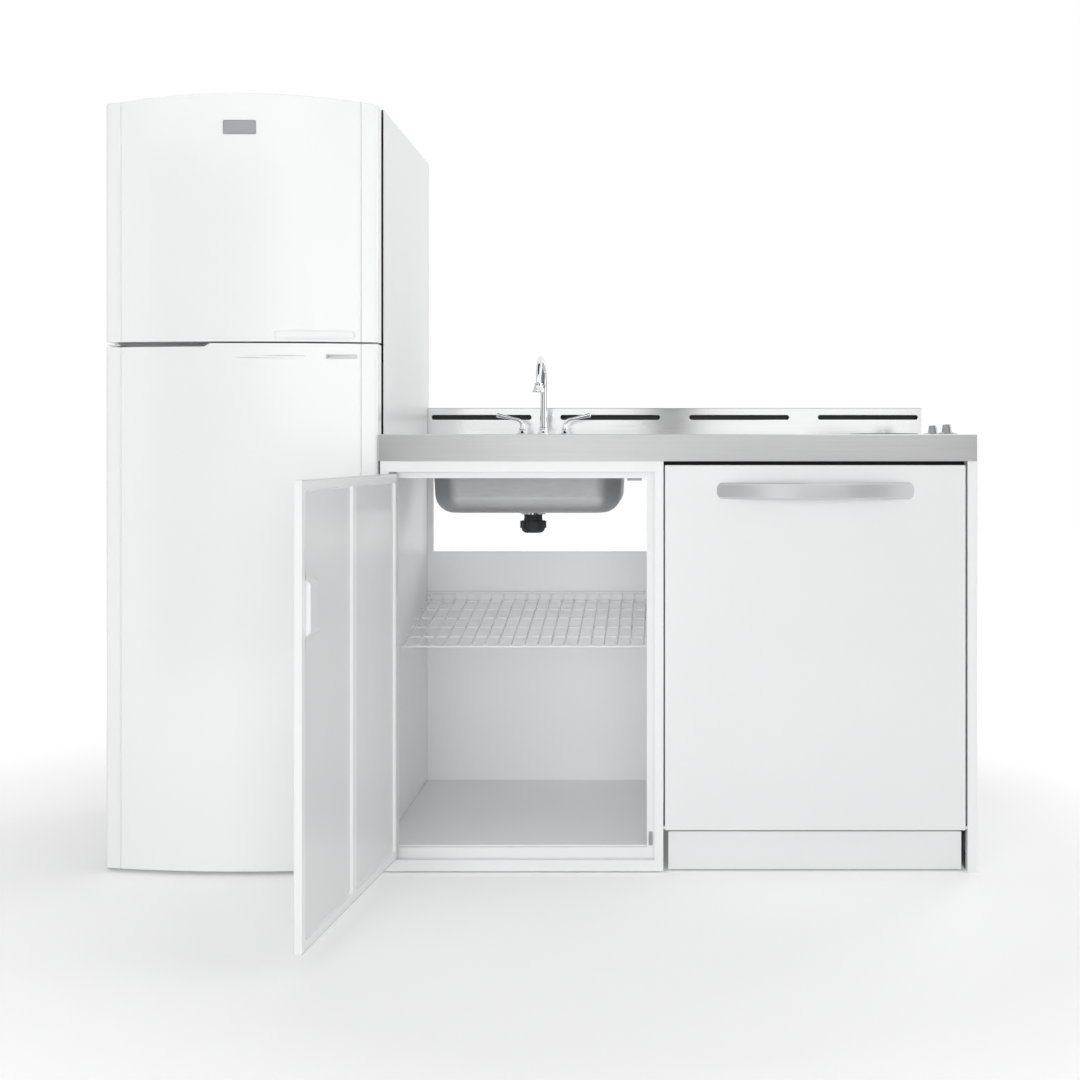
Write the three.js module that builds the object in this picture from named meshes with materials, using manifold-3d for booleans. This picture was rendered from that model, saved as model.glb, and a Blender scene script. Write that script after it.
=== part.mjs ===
// A combined kitchenette: a stainless worktop with sink, faucet and two-burner hob over a steel sink
// cabinet and a built-in dishwasher, with a two-door refrigerator-freezer at its left end.
//
// Millimetres, +Z up. x runs right from the seam between refrigerator and worktop, y runs back from
// the front plane, z runs up from the floor. A pair such as [low, high] is a span along one axis.
import * as THREE from "three";
import { mergeVertices } from "three/addons/utils/BufferGeometryUtils.js";
import Module from "manifold-3d";

const wasm = await Module();
wasm.setup();

// ---------- driving dimensions ----------

const FIT = 0.3; // clearance where one piece slips into another
const TOUCH = 0.3; // gap left between pieces that rest on each other through a curved or cut face

// Worktop and back guard, folded from stainless sheet.
const WORKTOP_WIDTH = 1219;
const WORKTOP_DEPTH = 617;
const WORKTOP_HEIGHT = 892;
const WORKTOP_SHEET = 1.5;
const APRON_HEIGHT = 55;
const GUARD_HEIGHT = 69;
const GUARD_THICKNESS = 20;
const SLOT_COUNT = 4;
const SLOT_LENGTH = 246;
const SLOT_HEIGHT = 11;
const SLOT_PITCH = 318;
const SLOT_ABOVE_WORKTOP = 46;

// Sink cabinet carcass.
const CABINET_SHEET = 1.2;
const CABINET_WIDTH = 580;
const CABINET_LEFT = 3;
const CARCASS_DEPTH = 570;
const FLANGE = 16;
const BACK_PANEL_TOP = 610;
const FLOOR_PAN_TOP = 50;
const FLOOR_PAN_LIP = 20;
const END_PANEL_WIDTH = 20;
const END_PANEL_RETURN = 22;

// Face frame, stepped back round the door.
const FACE_SETBACK = 2;
const FRAME_DEPTH = 22;
const FRAME_FOOT_GAP = 3;
const FRAME_SIDE_BORDER = 18;
const FRAME_TOP_BORDER = 22;
const FRAME_BOTTOM_BORDER = 23;
const RING_SIDE = 16;
const RING_TOP = 13;
const RING_BOTTOM = 21;

// Cabinet door.
const DOOR_THICKNESS = 15;
const DOOR_BACK_GAP = 2.5;
const DOOR_SIDE_GAP = 2;
const DOOR_END_GAP = 3;
const DOOR_REST_ANGLE = 96;
const DOOR_PIN_INSET = 3.5;
const DOOR_PIN_RADIUS = 2;
const DOOR_PIN_LENGTH = 10;
const DOOR_RIM = 14;
const DOOR_PANEL_RECESS = 5;
const DOOR_RIB_WIDTH = 20;
const HINGE_STRAP_HEIGHT = 61;
const HINGE_STRAP_WIDTH = 12;
const HINGE_PLATE = 1.5;
const CUP_FROM_EDGE = 39;
const CUP_HEIGHT_ABOVE_FLOOR = 598;
const CUP_WIDTH = 44;
const CUP_LENGTH = 122;
const CUP_FLOOR_LENGTH = 82;
const CUP_DEPTH = 23;
const CUP_FLANGE = 4;

// Door catches.
const TOP_CATCH_WIDTH = 30;
const TOP_CATCH_DEPTH = 24;
const TOP_CATCH_HEIGHT = 5;
const TOP_CATCH_FROM_SIDE = 10;
const STILE_CATCH_WIDTH = 8;
const STILE_CATCH_HEIGHT = 28;
const STILE_CATCH_THICKNESS = 1.5;
const STILE_CATCH_RISE = 4;

// Wire shelf.
const SHELF_HEIGHT = 430;
const SHELF_RISE = 60;
const SHELF_FRONT = 205;
const SHELF_CROSS_WIRES = 6;
const SHELF_CROSS_PITCH = 69;
const SHELF_LONG_WIRES = 20;
const SHELF_WIRE = 3.6;
const SHELF_LIP = 20;
const SHELF_SIDE_GAP = 2;
const SHELF_END_GAP = 0.2;
const SHELF_LONG_WIRE_INSET = 10;
const SHELF_CARRYING_WIRE = 3;
const SPARE_HOLE_DROP = 115;

// Sink.
const SINK_LEFT = 85;
const SINK_WIDTH = 410;
const SINK_FRONT = 100;
const SINK_LENGTH = 355;
const SINK_DEPTH = 166;
const SINK_CORNER = 55;
const SINK_TAPER = 9;
const SINK_BOTTOM_RADIUS = 40;
const SINK_SHEET = 1.2;
const SINK_RIM = 15;
const DRAIN_FLANGE_RADIUS = 42;
const DRAIN_FLANGE_THICKNESS = 2;
const DRAIN_BODY_RADIUS = 28;
const DRAIN_BODY_DROP = 9;
const BASKET_DEPTH = 8;
const BASKET_HOLES = 6;
const BASKET_HOLE_RADIUS = 2.5;
const BASKET_HOLE_RING = 13;
const TAIL_RADIUS = 20.5;
const TAIL_WALL = 3;
const TAIL_DROP = 26;
const NUT_RADIUS = 26;
const NUT_HEIGHT = 27;
const NUT_OVER_TAIL = 12;
const NUT_WING = 3;
const NUT_WING_THICKNESS = 5;

// Faucet.
const FAUCET_DEPTH = 490;
const FAUCET_FROM_DRAIN = 5;
const VALVE_SPACING = 101.6;
const SHANK_RADIUS = 8;
const SHANK_LENGTH = 38;
const BASE_RADIUS = 15.5;
const BASE_HEIGHT = 19;
const VALVE_BASE_RADIUS = 16;
const VALVE_HEIGHT = 13;
const SPOUT_RADIUS = 8;
const SPOUT_TIP_RADIUS = 6;
const SPOUT_BEND = 70;
const SPOUT_BEND_HEIGHT = 110;
const SPOUT_TIP_LENGTH = 5;
const AERATOR_RADIUS = 14;
const AERATOR_HEIGHT = 22;
const LEVER_REACH = 60;
const LEVER_HEIGHT = 49;
const LEVER_STEM_RADIUS = 6.5;
const LEVER_NECK_RADIUS = 4;
const LEVER_TIP_RADIUS = 6;

// Hob.
const PAN_TO_KNOB_GAP = 6;
const BURNER_DEPTHS = { front: 172, rear: 416 };
const BURNER_HOLE_RADIUS = 94;
const PAN_RIM_RADIUS = 100;
const PAN_SHEET = 1;
const PAN_LEDGE_RADIUS = 82;
const PAN_LEDGE_DROP = 11;
const PAN_DEPTH = 30;
const PAN_CENTRE_HOLE = 26;
const ELEMENT_LOOPS = 3.75;
const ELEMENT_STEPS = 24;
const ELEMENT_PITCH = 13.5;
const ELEMENT_INNER_RADIUS = 22;
const ELEMENT_TUBE = 3.5;
const ELEMENT_TOP = 3;
const ELEMENT_LEAD_SPREAD = 11;
const ELEMENT_LEAD_DROP = 8.5;
const SUPPORT_BLADE = 2;
const SUPPORT_BLADE_HEIGHT = 7;
const SUPPORT_ANGLES = [0, 95, 265];
const BURNER_BOX_WIDTH = 216;
const BURNER_BOX_FRONT = 62;
const BURNER_BOX_BACK = 526;
const BURNER_BOX_DEPTH = 46;
const KNOB_FROM_RIGHT = 32;
const KNOB_DEPTHS = { front: 150, rear: 300 };
const KNOB_RADIUS = 23;
const KNOB_DOME = 5;
const KNOB_HEIGHT = 22;
const KNOB_GRIP_WIDTH = 17;
const KNOB_GRIP_LENGTH = 38;
const SWITCH_SIZE = 36;
const SWITCH_HEIGHT = 32;
const SHAFT_RADIUS = 3;
const SHAFT_HEIGHT = 14;
const SHAFT_HOLE_GAP = 2;

// Dishwasher.
const DISH_DOOR_LEFT_GAP = 3;
const DISH_DOOR_RIGHT_GAP = 4;
const DISH_DOOR_BOTTOM = 86;
const DISH_DOOR_TOP_GAP = 8;
const DISH_DOOR_THICKNESS = 20;
const DISH_SHEET = 1;
const DISH_PIVOT_INSET = 5;
const DISH_PIVOT_RADIUS = 3;
const DISH_PIVOT_REACH = 6;
const DISH_LINER_DEPTH = 18;
const DISH_LINER_INSET = 14;
const TUB_SIDE_GAP = 10;
const TUB_FRONT = 44;
const TUB_BACK = 560;
const TUB_BOTTOM = 108;
const TUB_BELOW_APRON = 19;
const TUB_TAB_WIDTH = 30;
const TUB_TAB_THICKNESS = 3;
const RACK_RAIL_HEIGHT = 60;
const RACK_RAIL_SIZE = 12;
const RACK_RAIL_SHEET = 3;
const RACK_RAIL_OVERRUN = 10;
const RACK_HEIGHT = 110;
const RACK_WIRE = 4;
const RACK_FRONT = 70;
const RACK_BACK = 530;
const RACK_LONG_WIRES = 7;
const RACK_CROSS_WIRES = 5;
const RACK_SIDE_GAP = 1;
const RACK_RUNNER_INSET = 40;
const RACK_RUNNER_LENGTH = 24;
const RACK_RUNNER_TO_TUB = 3;
const SPRAY_ARM_LENGTH = 440;
const SPRAY_ARM_WIDTH = 40;
const SPRAY_ARM_THICKNESS = 8;
const SPRAY_POST_RADIUS = 9;
const SPRAY_POST_HEIGHT = 18;
const KICK_TOP = 81;
const KICK_FOOT_GAP = 3;
const KICK_SIDE_GAP = 11;
const KICK_FRONT = 14;
const BASE_FRONT = 60;
const BAR_LENGTH = 402;
const BAR_HEIGHT = 33;
const BAR_BELOW_DOOR_TOP = 52;
const BAR_BOW = 45;
const BAR_THICKNESS = 15;
const BAR_FOOT = 26;

// Refrigerator-freezer.
const FRIDGE_WIDTH = 559;
const FRIDGE_SEAM = 0.5;
const FRIDGE_HEIGHT = 1567;
const FRIDGE_BACK = 620;
const FRIDGE_SHEET = 1.2;
const FRIDGE_FRONT = 62;
const FRIDGE_FLOOR = 30;
const BAY_DEPTH = 190;
const BAY_HEIGHT = 200;
const FOOT_FLANGE = 25;
const FOOT_FLANGE_THICKNESS = 2;
const TRAY_HEIGHT = 10;
const TRAY_THICKNESS = 2;
const LINER_SHEET = 2;
const LINER_WALL = 38;
const LINER_BACK_GAP = 50;
const COMPARTMENT_SPLIT = 1076;
const SPLIT_WALL = 50;
const SHELF_LEDGE = 8;
const GLASS_THICKNESS = 4;
const GLASS_SHELF_HEIGHT = 640;
const COMPRESSOR_RADIUS = 75;
const COMPRESSOR_HEIGHT = 150;
const COMPRESSOR_FROM_SIDE = 190;

// Refrigerator doors: one bowed plan for both, with a flat strip down each side.
const BOW = 26;
const DOOR_EDGE_FRONT = 8;
const FRIDGE_DOOR_BACK = 45;
const FRIDGE_DOOR_SIDE_GAP = 2;
const FRIDGE_DOOR_BOTTOM = 8;
const FRIDGE_DOOR_TOP = 1076;
const FRIDGE_DOOR_LOW_DROP = 7;
const LOW_TOP_WIDTH = 208;
const FREEZER_DOOR_BOTTOM = 1079;
const FREEZER_DOOR_CORNER_DROP = 4;
const DOOR_ARCH = 18;
const DOOR_SKIN = 2;
const DOOR_PLAN_EASE = 5;
const DOOR_TOP_STEP = 14;
const STRIP_WIDTH = 32;
const GROOVE = 3;
const GROOVE_DEPTH = 2;
const SCOOP_LEFT = -209;
const SCOOP_RIGHT = -51;
const SCOOP_RADIUS = 14;
const SCOOP_DEPTH = 5;
const SCOOP_HEIGHT = 1093;
const GRIP_LEFT = -328;
const GRIP_RIGHT = -43;
const GRIP_SLOT_WIDTH = 59;
const GRIP_BOTTOM = 1046;
const GRIP_TOP = 1053;
const GRIP_DEPTH = 4;
const GRIP_SLOT_DEPTH = 14;
const DOOR_LINER_SHEET = 2;
const DOOR_DYKE = 26;
const DOOR_DYKE_INSET = 48;
const DOOR_DYKE_WIDTH = 14;
const GASKET_WIDTH = 16;
const GASKET_INSET = 14;
const FRIDGE_PIN_FROM_SIDE = 18;
const FRIDGE_PIN_DEPTH = 28;
const FRIDGE_PIN_RADIUS = 4;
const FRIDGE_PIN_LENGTH = 16;
const BRACKET_THICKNESS = 3;
const BRACKET_WIDTH = 26;
const BRACKET_INSET = 2;
const BRACKET_REACH = 10;
const TOP_BRACKET_LENGTH = 40;

// ---------- finishes ----------

const finish = (color, roughness, metalness = 0) =>
  new THREE.MeshStandardMaterial({ color, roughness, metalness });
const whitePaint = finish(0xf0f1f2, 0.35);
const whiteEnamel = finish(0xf4f5f6, 0.3);
const brushedSteel = finish(0xc4c6c8, 0.35, 1);
const sinkSteel = finish(0x9aa0a4, 0.4, 1);
const chrome = finish(0xe0e2e4, 0.08, 1);
const galvanised = finish(0x9b9ea0, 0.5, 1);
const drainBlack = finish(0x24262a, 0.5);
const elementBlack = finish(0x1d1d1f, 0.7);
const greyKnob = finish(0x9a9c9e, 0.3, 0.6);
const greyBar = finish(0xb4b7ba, 0.35);
const whitePlastic = finish(0xf2f3f4, 0.45);
const sprayGrey = finish(0x8c9094, 0.5);
const sealGrey = finish(0xd8dadb, 0.8);
const shelfGlass = finish(0xcfe0dc, 0.05);
const compressorBlack = finish(0x202124, 0.5);

// ---------- shapes ----------

// A box between three spans.
function block([x0, x1], [y0, y1], [z0, z1]) {
  const box = new THREE.BoxGeometry(x1 - x0, y1 - y0, z1 - z0);
  return box.translate((x0 + x1) / 2, (y0 + y1) / 2, (z0 + z1) / 2);
}

// A piece turned about the vertical through (x, y), from [radius, z] pairs run anticlockwise.
function turned(x, y, profile, segments = 20) {
  const points = profile.map(([radius, z]) => new THREE.Vector2(radius, z));
  return new THREE.LatheGeometry(points, segments).rotateX(Math.PI / 2).translate(x, y, 0);
}

// A round bar between two points.
function rod(from, to, radius, segments = 12) {
  const start = new THREE.Vector3(...from);
  const end = new THREE.Vector3(...to);
  const along = end.clone().sub(start);
  const bar = new THREE.CylinderGeometry(radius, radius, along.length(), segments);
  const upright = new THREE.Vector3(0, 1, 0);
  bar.applyQuaternion(new THREE.Quaternion().setFromUnitVectors(upright, along.normalize()));
  const middle = start.add(end).multiplyScalar(0.5);
  return bar.translate(middle.x, middle.y, middle.z);
}

function outline(points) {
  return new THREE.Shape(points.map(([u, v]) => new THREE.Vector2(u, v)));
}

const extruded = (shape, depth) =>
  new THREE.ExtrudeGeometry(shape, { depth, bevelEnabled: false, curveSegments: 6 });

// An outline in x and y, raised between two z.
function slab(shape, [z0, z1]) {
  return extruded(shape, z1 - z0).translate(0, 0, z0);
}

// An outline in x and z, deep between two y.
function frontPlate(shape, [y0, y1]) {
  return extruded(shape, y1 - y0).rotateX(Math.PI / 2).translate(0, y1, 0);
}

// An outline in y and z, wide between two x.
function sidePlate(shape, [x0, x1]) {
  return extruded(shape, x1 - x0).rotateX(Math.PI / 2).rotateZ(Math.PI / 2).translate(x0, 0, 0);
}

// A rectangle with round corners, as an anticlockwise ring of points at height z.
function roundedRing([x0, x1], [y0, y1], radius, z, cornerSteps = 4) {
  const corners = [
    [x1 - radius, y0 + radius, -90],
    [x1 - radius, y1 - radius, 0],
    [x0 + radius, y1 - radius, 90],
    [x0 + radius, y0 + radius, 180],
  ];
  const ring = [];
  for (const [x, y, startAngle] of corners) {
    for (let step = 0; step <= cornerSteps; step++) {
      const angle = THREE.MathUtils.degToRad(startAngle + (90 * step) / cornerSteps);
      ring.push(new THREE.Vector3(x + radius * Math.cos(angle), y + radius * Math.sin(angle), z));
    }
  }
  return ring;
}

// A closed skin over rings of equally many points. Each ring runs anticlockwise as seen from the end
// that the list leads to.
function loft(rings) {
  const count = rings[0].length;
  const faces = [];
  for (let ring = 0; ring < rings.length - 1; ring++) {
    for (let i = 0; i < count; i++) {
      const a = ring * count + i;
      const b = ring * count + ((i + 1) % count);
      faces.push(a, b, b + count, a, b + count, a + count);
    }
  }
  const last = (rings.length - 1) * count;
  for (let i = 1; i < count - 1; i++) {
    faces.push(0, i + 1, i, last, last + i, last + i + 1);
  }
  const skin = new THREE.BufferGeometry();
  const positions = rings.flat().flatMap((point) => point.toArray());
  skin.setAttribute("position", new THREE.Float32BufferAttribute(positions, 3));
  skin.setIndex(faces);
  skin.computeVertexNormals();
  return skin;
}

// A round section carried along a curve; radiusAt gives its radius from start (0) to end (1).
function sweep(curve, radiusAt, steps, sides) {
  const frames = curve.computeFrenetFrames(steps, false);
  const rings = [];
  for (let step = 0; step <= steps; step++) {
    const centre = curve.getPointAt(step / steps);
    const radius = radiusAt(step / steps);
    const ring = [];
    for (let side = 0; side < sides; side++) {
      const angle = (2 * Math.PI * side) / sides;
      const point = centre.clone();
      point.addScaledVector(frames.normals[step], radius * Math.cos(angle));
      point.addScaledVector(frames.binormals[step], radius * Math.sin(angle));
      ring.push(point);
    }
    rings.push(ring);
  }
  return loft(rings);
}

// ---------- joining and cutting ----------

function solid(geometry) {
  const bare = geometry.clone();
  bare.deleteAttribute("normal");
  bare.deleteAttribute("uv");
  const merged = mergeVertices(bare, 1e-4);
  const vertProperties = merged.attributes.position.array;
  const triVerts = new Uint32Array(merged.index.array);
  return new wasm.Manifold(new wasm.Mesh({ numProp: 3, vertProperties, triVerts }));
}

function geometryOf(body) {
  const { vertProperties, triVerts } = body.getMesh();
  const geometry = new THREE.BufferGeometry();
  geometry.setAttribute("position", new THREE.BufferAttribute(vertProperties, 3));
  geometry.setIndex(new THREE.BufferAttribute(triVerts, 1));
  geometry.computeVertexNormals();
  return geometry;
}

function join(...shapes) {
  return geometryOf(shapes.map(solid).reduce((body, shape) => body.add(shape)));
}

function cut(shape, ...tools) {
  return geometryOf(tools.map(solid).reduce((body, tool) => body.subtract(tool), solid(shape)));
}

function shared(first, second) {
  return geometryOf(solid(first).intersect(solid(second)));
}

// A folded sheet box with one side open: -x, +x, -y, +y, -z or +z.
function foldedBox(spans, sheet, openSide) {
  const hollow = spans.map(([low, high]) => [low + sheet, high - sheet]);
  const axis = "xyz".indexOf(openSide[1]);
  if (openSide[0] === "-") hollow[axis][0] = spans[axis][0] - sheet;
  else hollow[axis][1] = spans[axis][1] + sheet;
  return cut(block(...spans), block(...hollow));
}

const grow = ([low, high], amount) => [low - amount, high + amount];

function piece(name, geometry, material) {
  const mesh = new THREE.Mesh(geometry, material);
  mesh.name = name;
  return mesh;
}

// ---------- heights and spans that several pieces share ----------

const underside = WORKTOP_HEIGHT - WORKTOP_SHEET;
const apronBottom = WORKTOP_HEIGHT - APRON_HEIGHT;
const tubTop = apronBottom - TUB_BELOW_APRON;
const dishDoorTop = apronBottom - DISH_DOOR_TOP_GAP;
const freezerDoorCorner = FRIDGE_HEIGHT - FREEZER_DOOR_CORNER_DROP;
const fridgeDoorLowTop = FRIDGE_DOOR_TOP - FRIDGE_DOOR_LOW_DROP;
const carcassFront = FACE_SETBACK + FRAME_DEPTH;
const leftWallInside = CABINET_LEFT + CABINET_SHEET;
const dividerInside = CABINET_WIDTH - CABINET_SHEET;
const endPanelLeft = WORKTOP_WIDTH - END_PANEL_WIDTH;
const knobX = WORKTOP_WIDTH - KNOB_FROM_RIGHT;
const burnerX = knobX - KNOB_RADIUS - PAN_TO_KNOB_GAP - PAN_RIM_RADIUS;

const frameX = [CABINET_LEFT + 1, CABINET_WIDTH];
const frameZ = [FRAME_FOOT_GAP, apronBottom];
const recessX = grow(frameX, -FRAME_SIDE_BORDER);
const recessZ = [frameZ[0] + FRAME_BOTTOM_BORDER, frameZ[1] - FRAME_TOP_BORDER];
const openingX = grow(recessX, -RING_SIDE);
const openingZ = [recessZ[0] + RING_BOTTOM, recessZ[1] - RING_TOP];
const recessBack = FACE_SETBACK + DOOR_THICKNESS + DOOR_BACK_GAP;

const shelfBack = SHELF_FRONT + (SHELF_CROSS_WIRES - 1) * SHELF_CROSS_PITCH;
const shelfCarryingDepths = [SHELF_FRONT, SHELF_FRONT + SHELF_CARRYING_WIRE * SHELF_CROSS_PITCH];
const shelfZ = (y) => SHELF_HEIGHT + (SHELF_RISE * (y - SHELF_FRONT)) / (shelfBack - SHELF_FRONT);

// ---------- carcass ----------

// One side wall of the sink cabinet: a sheet with flanges turned in, and holes for the shelf wires.
function sideWall(name, spanX, openSide) {
  const spans = [spanX, [carcassFront, CARCASS_DEPTH], [0, underside]];
  const through = grow(spanX, 1);
  const wireHole = (y, z) => rod([through[0], y, z], [through[1], y, z], SHELF_WIRE / 2 + FIT);
  const wires = shelfCarryingDepths.flatMap((y) => [
    wireHole(y, shelfZ(y)),
    wireHole(y, shelfZ(y) - SPARE_HOLE_DROP),
  ]);
  return piece(name, cut(foldedBox(spans, CABINET_SHEET, openSide), ...wires), whitePaint);
}

function endPanel() {
  const spans = [[endPanelLeft, WORKTOP_WIDTH], [FACE_SETBACK, CARCASS_DEPTH], [0, apronBottom]];
  const edge = block(
    [endPanelLeft, endPanelLeft + CABINET_SHEET],
    [FACE_SETBACK, FACE_SETBACK + END_PANEL_RETURN],
    [0, apronBottom],
  );
  const panel = join(foldedBox(spans, CABINET_SHEET, "-x"), edge);
  return piece("right_end_panel", cut(panel, dishPivot(FIT)), whitePaint);
}

// The back sheet stands in front of the side walls' rear flanges and stops below the plumbing.
function backPanel() {
  const back = CARCASS_DEPTH - CABINET_SHEET;
  const spans = [
    [leftWallInside, dividerInside],
    [back - CABINET_SHEET, back],
    [CABINET_SHEET, BACK_PANEL_TOP],
  ];
  return piece("cabinet_back_panel", block(...spans), whitePaint);
}

function floorPan() {
  const spans = [
    [leftWallInside + FIT, dividerInside - FIT],
    [carcassFront + CABINET_SHEET, CARCASS_DEPTH - 2 * CABINET_SHEET - FIT],
    [FLOOR_PAN_TOP - FLOOR_PAN_LIP, FLOOR_PAN_TOP],
  ];
  return piece("cabinet_floor_pan", foldedBox(spans, CABINET_SHEET, "-z"), whitePaint);
}

// The stamped face frame: a border, a step back to a ring for the door, and the opening. The
// dishwasher's door turns on a pin in its right side.
function faceFrame() {
  const y = [FACE_SETBACK, carcassFront];
  const through = grow(y, 1);
  const stamped = cut(
    block(frameX, y, frameZ),
    block(recessX, [y[0] - 1, recessBack], recessZ),
    block(openingX, through, openingZ),
  );
  const core = cut(
    block(grow(frameX, -CABINET_SHEET), [y[0] + CABINET_SHEET, y[1] + 1], grow(frameZ, -CABINET_SHEET)),
    block(grow(recessX, CABINET_SHEET), [y[0], recessBack + CABINET_SHEET], grow(recessZ, CABINET_SHEET)),
    block(grow(openingX, CABINET_SHEET), grow(through, 1), grow(openingZ, CABINET_SHEET)),
  );
  return piece("cabinet_face_frame", cut(stamped, core, dishPivot(FIT)), whitePaint);
}

// A magnet catch under the top rail, and a small one on the right of the ring.
function catches() {
  const right = openingX[1] - TOP_CATCH_FROM_SIDE;
  const topCatch = block(
    [right - TOP_CATCH_WIDTH, right],
    [recessBack, recessBack + TOP_CATCH_DEPTH],
    [openingZ[1] - TOP_CATCH_HEIGHT, openingZ[1]],
  );
  const middle = (openingX[1] + recessX[1]) / 2;
  const stileCatch = block(
    grow([middle, middle], STILE_CATCH_WIDTH / 2),
    [recessBack - STILE_CATCH_THICKNESS, recessBack],
    [openingZ[0] + STILE_CATCH_RISE, openingZ[0] + STILE_CATCH_RISE + STILE_CATCH_HEIGHT],
  );
  return [
    piece("top_catch", topCatch, galvanised),
    piece("stile_catch", stileCatch, galvanised),
  ];
}

// ---------- worktop ----------

const sinkX = [SINK_LEFT, SINK_LEFT + SINK_WIDTH];
const sinkY = [SINK_FRONT, SINK_FRONT + SINK_LENGTH];
const faucetX = (sinkX[0] + sinkX[1]) / 2 + FAUCET_FROM_DRAIN;
const valveX = { left: faucetX - VALVE_SPACING / 2, right: faucetX + VALVE_SPACING / 2 };

function hole(x, y, radius, segments = 24) {
  return rod([x, y, underside - 1], [x, y, WORKTOP_HEIGHT + 1], radius, segments);
}

function worktop() {
  const spans = [[0, WORKTOP_WIDTH], [0, WORKTOP_DEPTH], [apronBottom, WORKTOP_HEIGHT]];
  const sinkHole = loft([
    roundedRing(sinkX, sinkY, SINK_CORNER, underside - 1),
    roundedRing(sinkX, sinkY, SINK_CORNER, WORKTOP_HEIGHT + 1),
  ]);
  const burners = Object.values(BURNER_DEPTHS).map((y) => hole(burnerX, y, BURNER_HOLE_RADIUS, 28));
  const shafts = Object.values(KNOB_DEPTHS).map((y) => hole(knobX, y, SHAFT_RADIUS + SHAFT_HOLE_GAP, 12));
  const shanks = [valveX.left, faucetX, valveX.right].map((x) =>
    hole(x, FAUCET_DEPTH, SHANK_RADIUS + FIT, 16),
  );
  const folded = foldedBox(spans, WORKTOP_SHEET, "-z");
  return piece("worktop", cut(folded, sinkHole, ...burners, ...shafts, ...shanks), brushedSteel);
}

function slotOutline(centreX, z) {
  const radius = SLOT_HEIGHT / 2;
  const half = SLOT_LENGTH / 2 - radius;
  const shape = new THREE.Shape();
  shape.absarc(centreX + half, z, radius, -Math.PI / 2, Math.PI / 2);
  shape.absarc(centreX - half, z, radius, Math.PI / 2, (3 * Math.PI) / 2);
  return shape;
}

function backGuard() {
  const y = [WORKTOP_DEPTH - GUARD_THICKNESS, WORKTOP_DEPTH];
  const spans = [[0, WORKTOP_WIDTH], y, [WORKTOP_HEIGHT, WORKTOP_HEIGHT + GUARD_HEIGHT]];
  const slots = [];
  for (let i = 0; i < SLOT_COUNT; i++) {
    const x = WORKTOP_WIDTH / 2 + (i - (SLOT_COUNT - 1) / 2) * SLOT_PITCH;
    const shape = slotOutline(x, WORKTOP_HEIGHT + SLOT_ABOVE_WORKTOP);
    slots.push(frontPlate(shape, [y[0] - 1, y[0] + 2 * WORKTOP_SHEET]));
  }
  const hollow = block(...spans.map((span) => grow(span, -WORKTOP_SHEET)));
  return piece("back_guard", cut(block(...spans), hollow, ...slots), brushedSteel);
}

// ---------- sink ----------

const sinkBottom = WORKTOP_HEIGHT - SINK_DEPTH;
const drain = { x: (sinkX[0] + sinkX[1]) / 2, y: (sinkY[0] + sinkY[1]) / 2 };

// Rings of a tapered basin with a rolled bottom edge, from its bottom to its mouth.
function basinRings(inset, bottom, top) {
  const rings = [];
  const rollSteps = 4;
  const roll = SINK_BOTTOM_RADIUS - inset;
  for (let step = 0; step <= rollSteps; step++) {
    const angle = ((Math.PI / 2) * step) / rollSteps;
    const draw = inset + SINK_TAPER + roll * (1 - Math.sin(angle));
    const corner = SINK_CORNER - inset - (SINK_CORNER - SINK_BOTTOM_RADIUS) * Math.cos(angle) * 0.5;
    const z = bottom + roll * (1 - Math.cos(angle));
    rings.push(roundedRing(grow(sinkX, -draw), grow(sinkY, -draw), corner, z));
  }
  rings.push(roundedRing(grow(sinkX, -inset), grow(sinkY, -inset), SINK_CORNER - inset, top));
  return rings;
}

function sinkBowl() {
  const rim = loft([
    roundedRing(grow(sinkX, SINK_RIM), grow(sinkY, SINK_RIM), SINK_CORNER, underside - SINK_SHEET),
    roundedRing(grow(sinkX, SINK_RIM), grow(sinkY, SINK_RIM), SINK_CORNER, underside),
  ]);
  const outside = loft(basinRings(-SINK_SHEET, sinkBottom - SINK_SHEET, underside));
  const inside = loft(basinRings(0, sinkBottom, underside + 1));
  const drainHole = rod(
    [drain.x, drain.y, sinkBottom - 5],
    [drain.x, drain.y, sinkBottom + 5],
    DRAIN_BODY_RADIUS + FIT,
    24,
  );
  return piece("sink_bowl", cut(join(rim, outside), inside, drainHole), sinkSteel);
}

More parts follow.
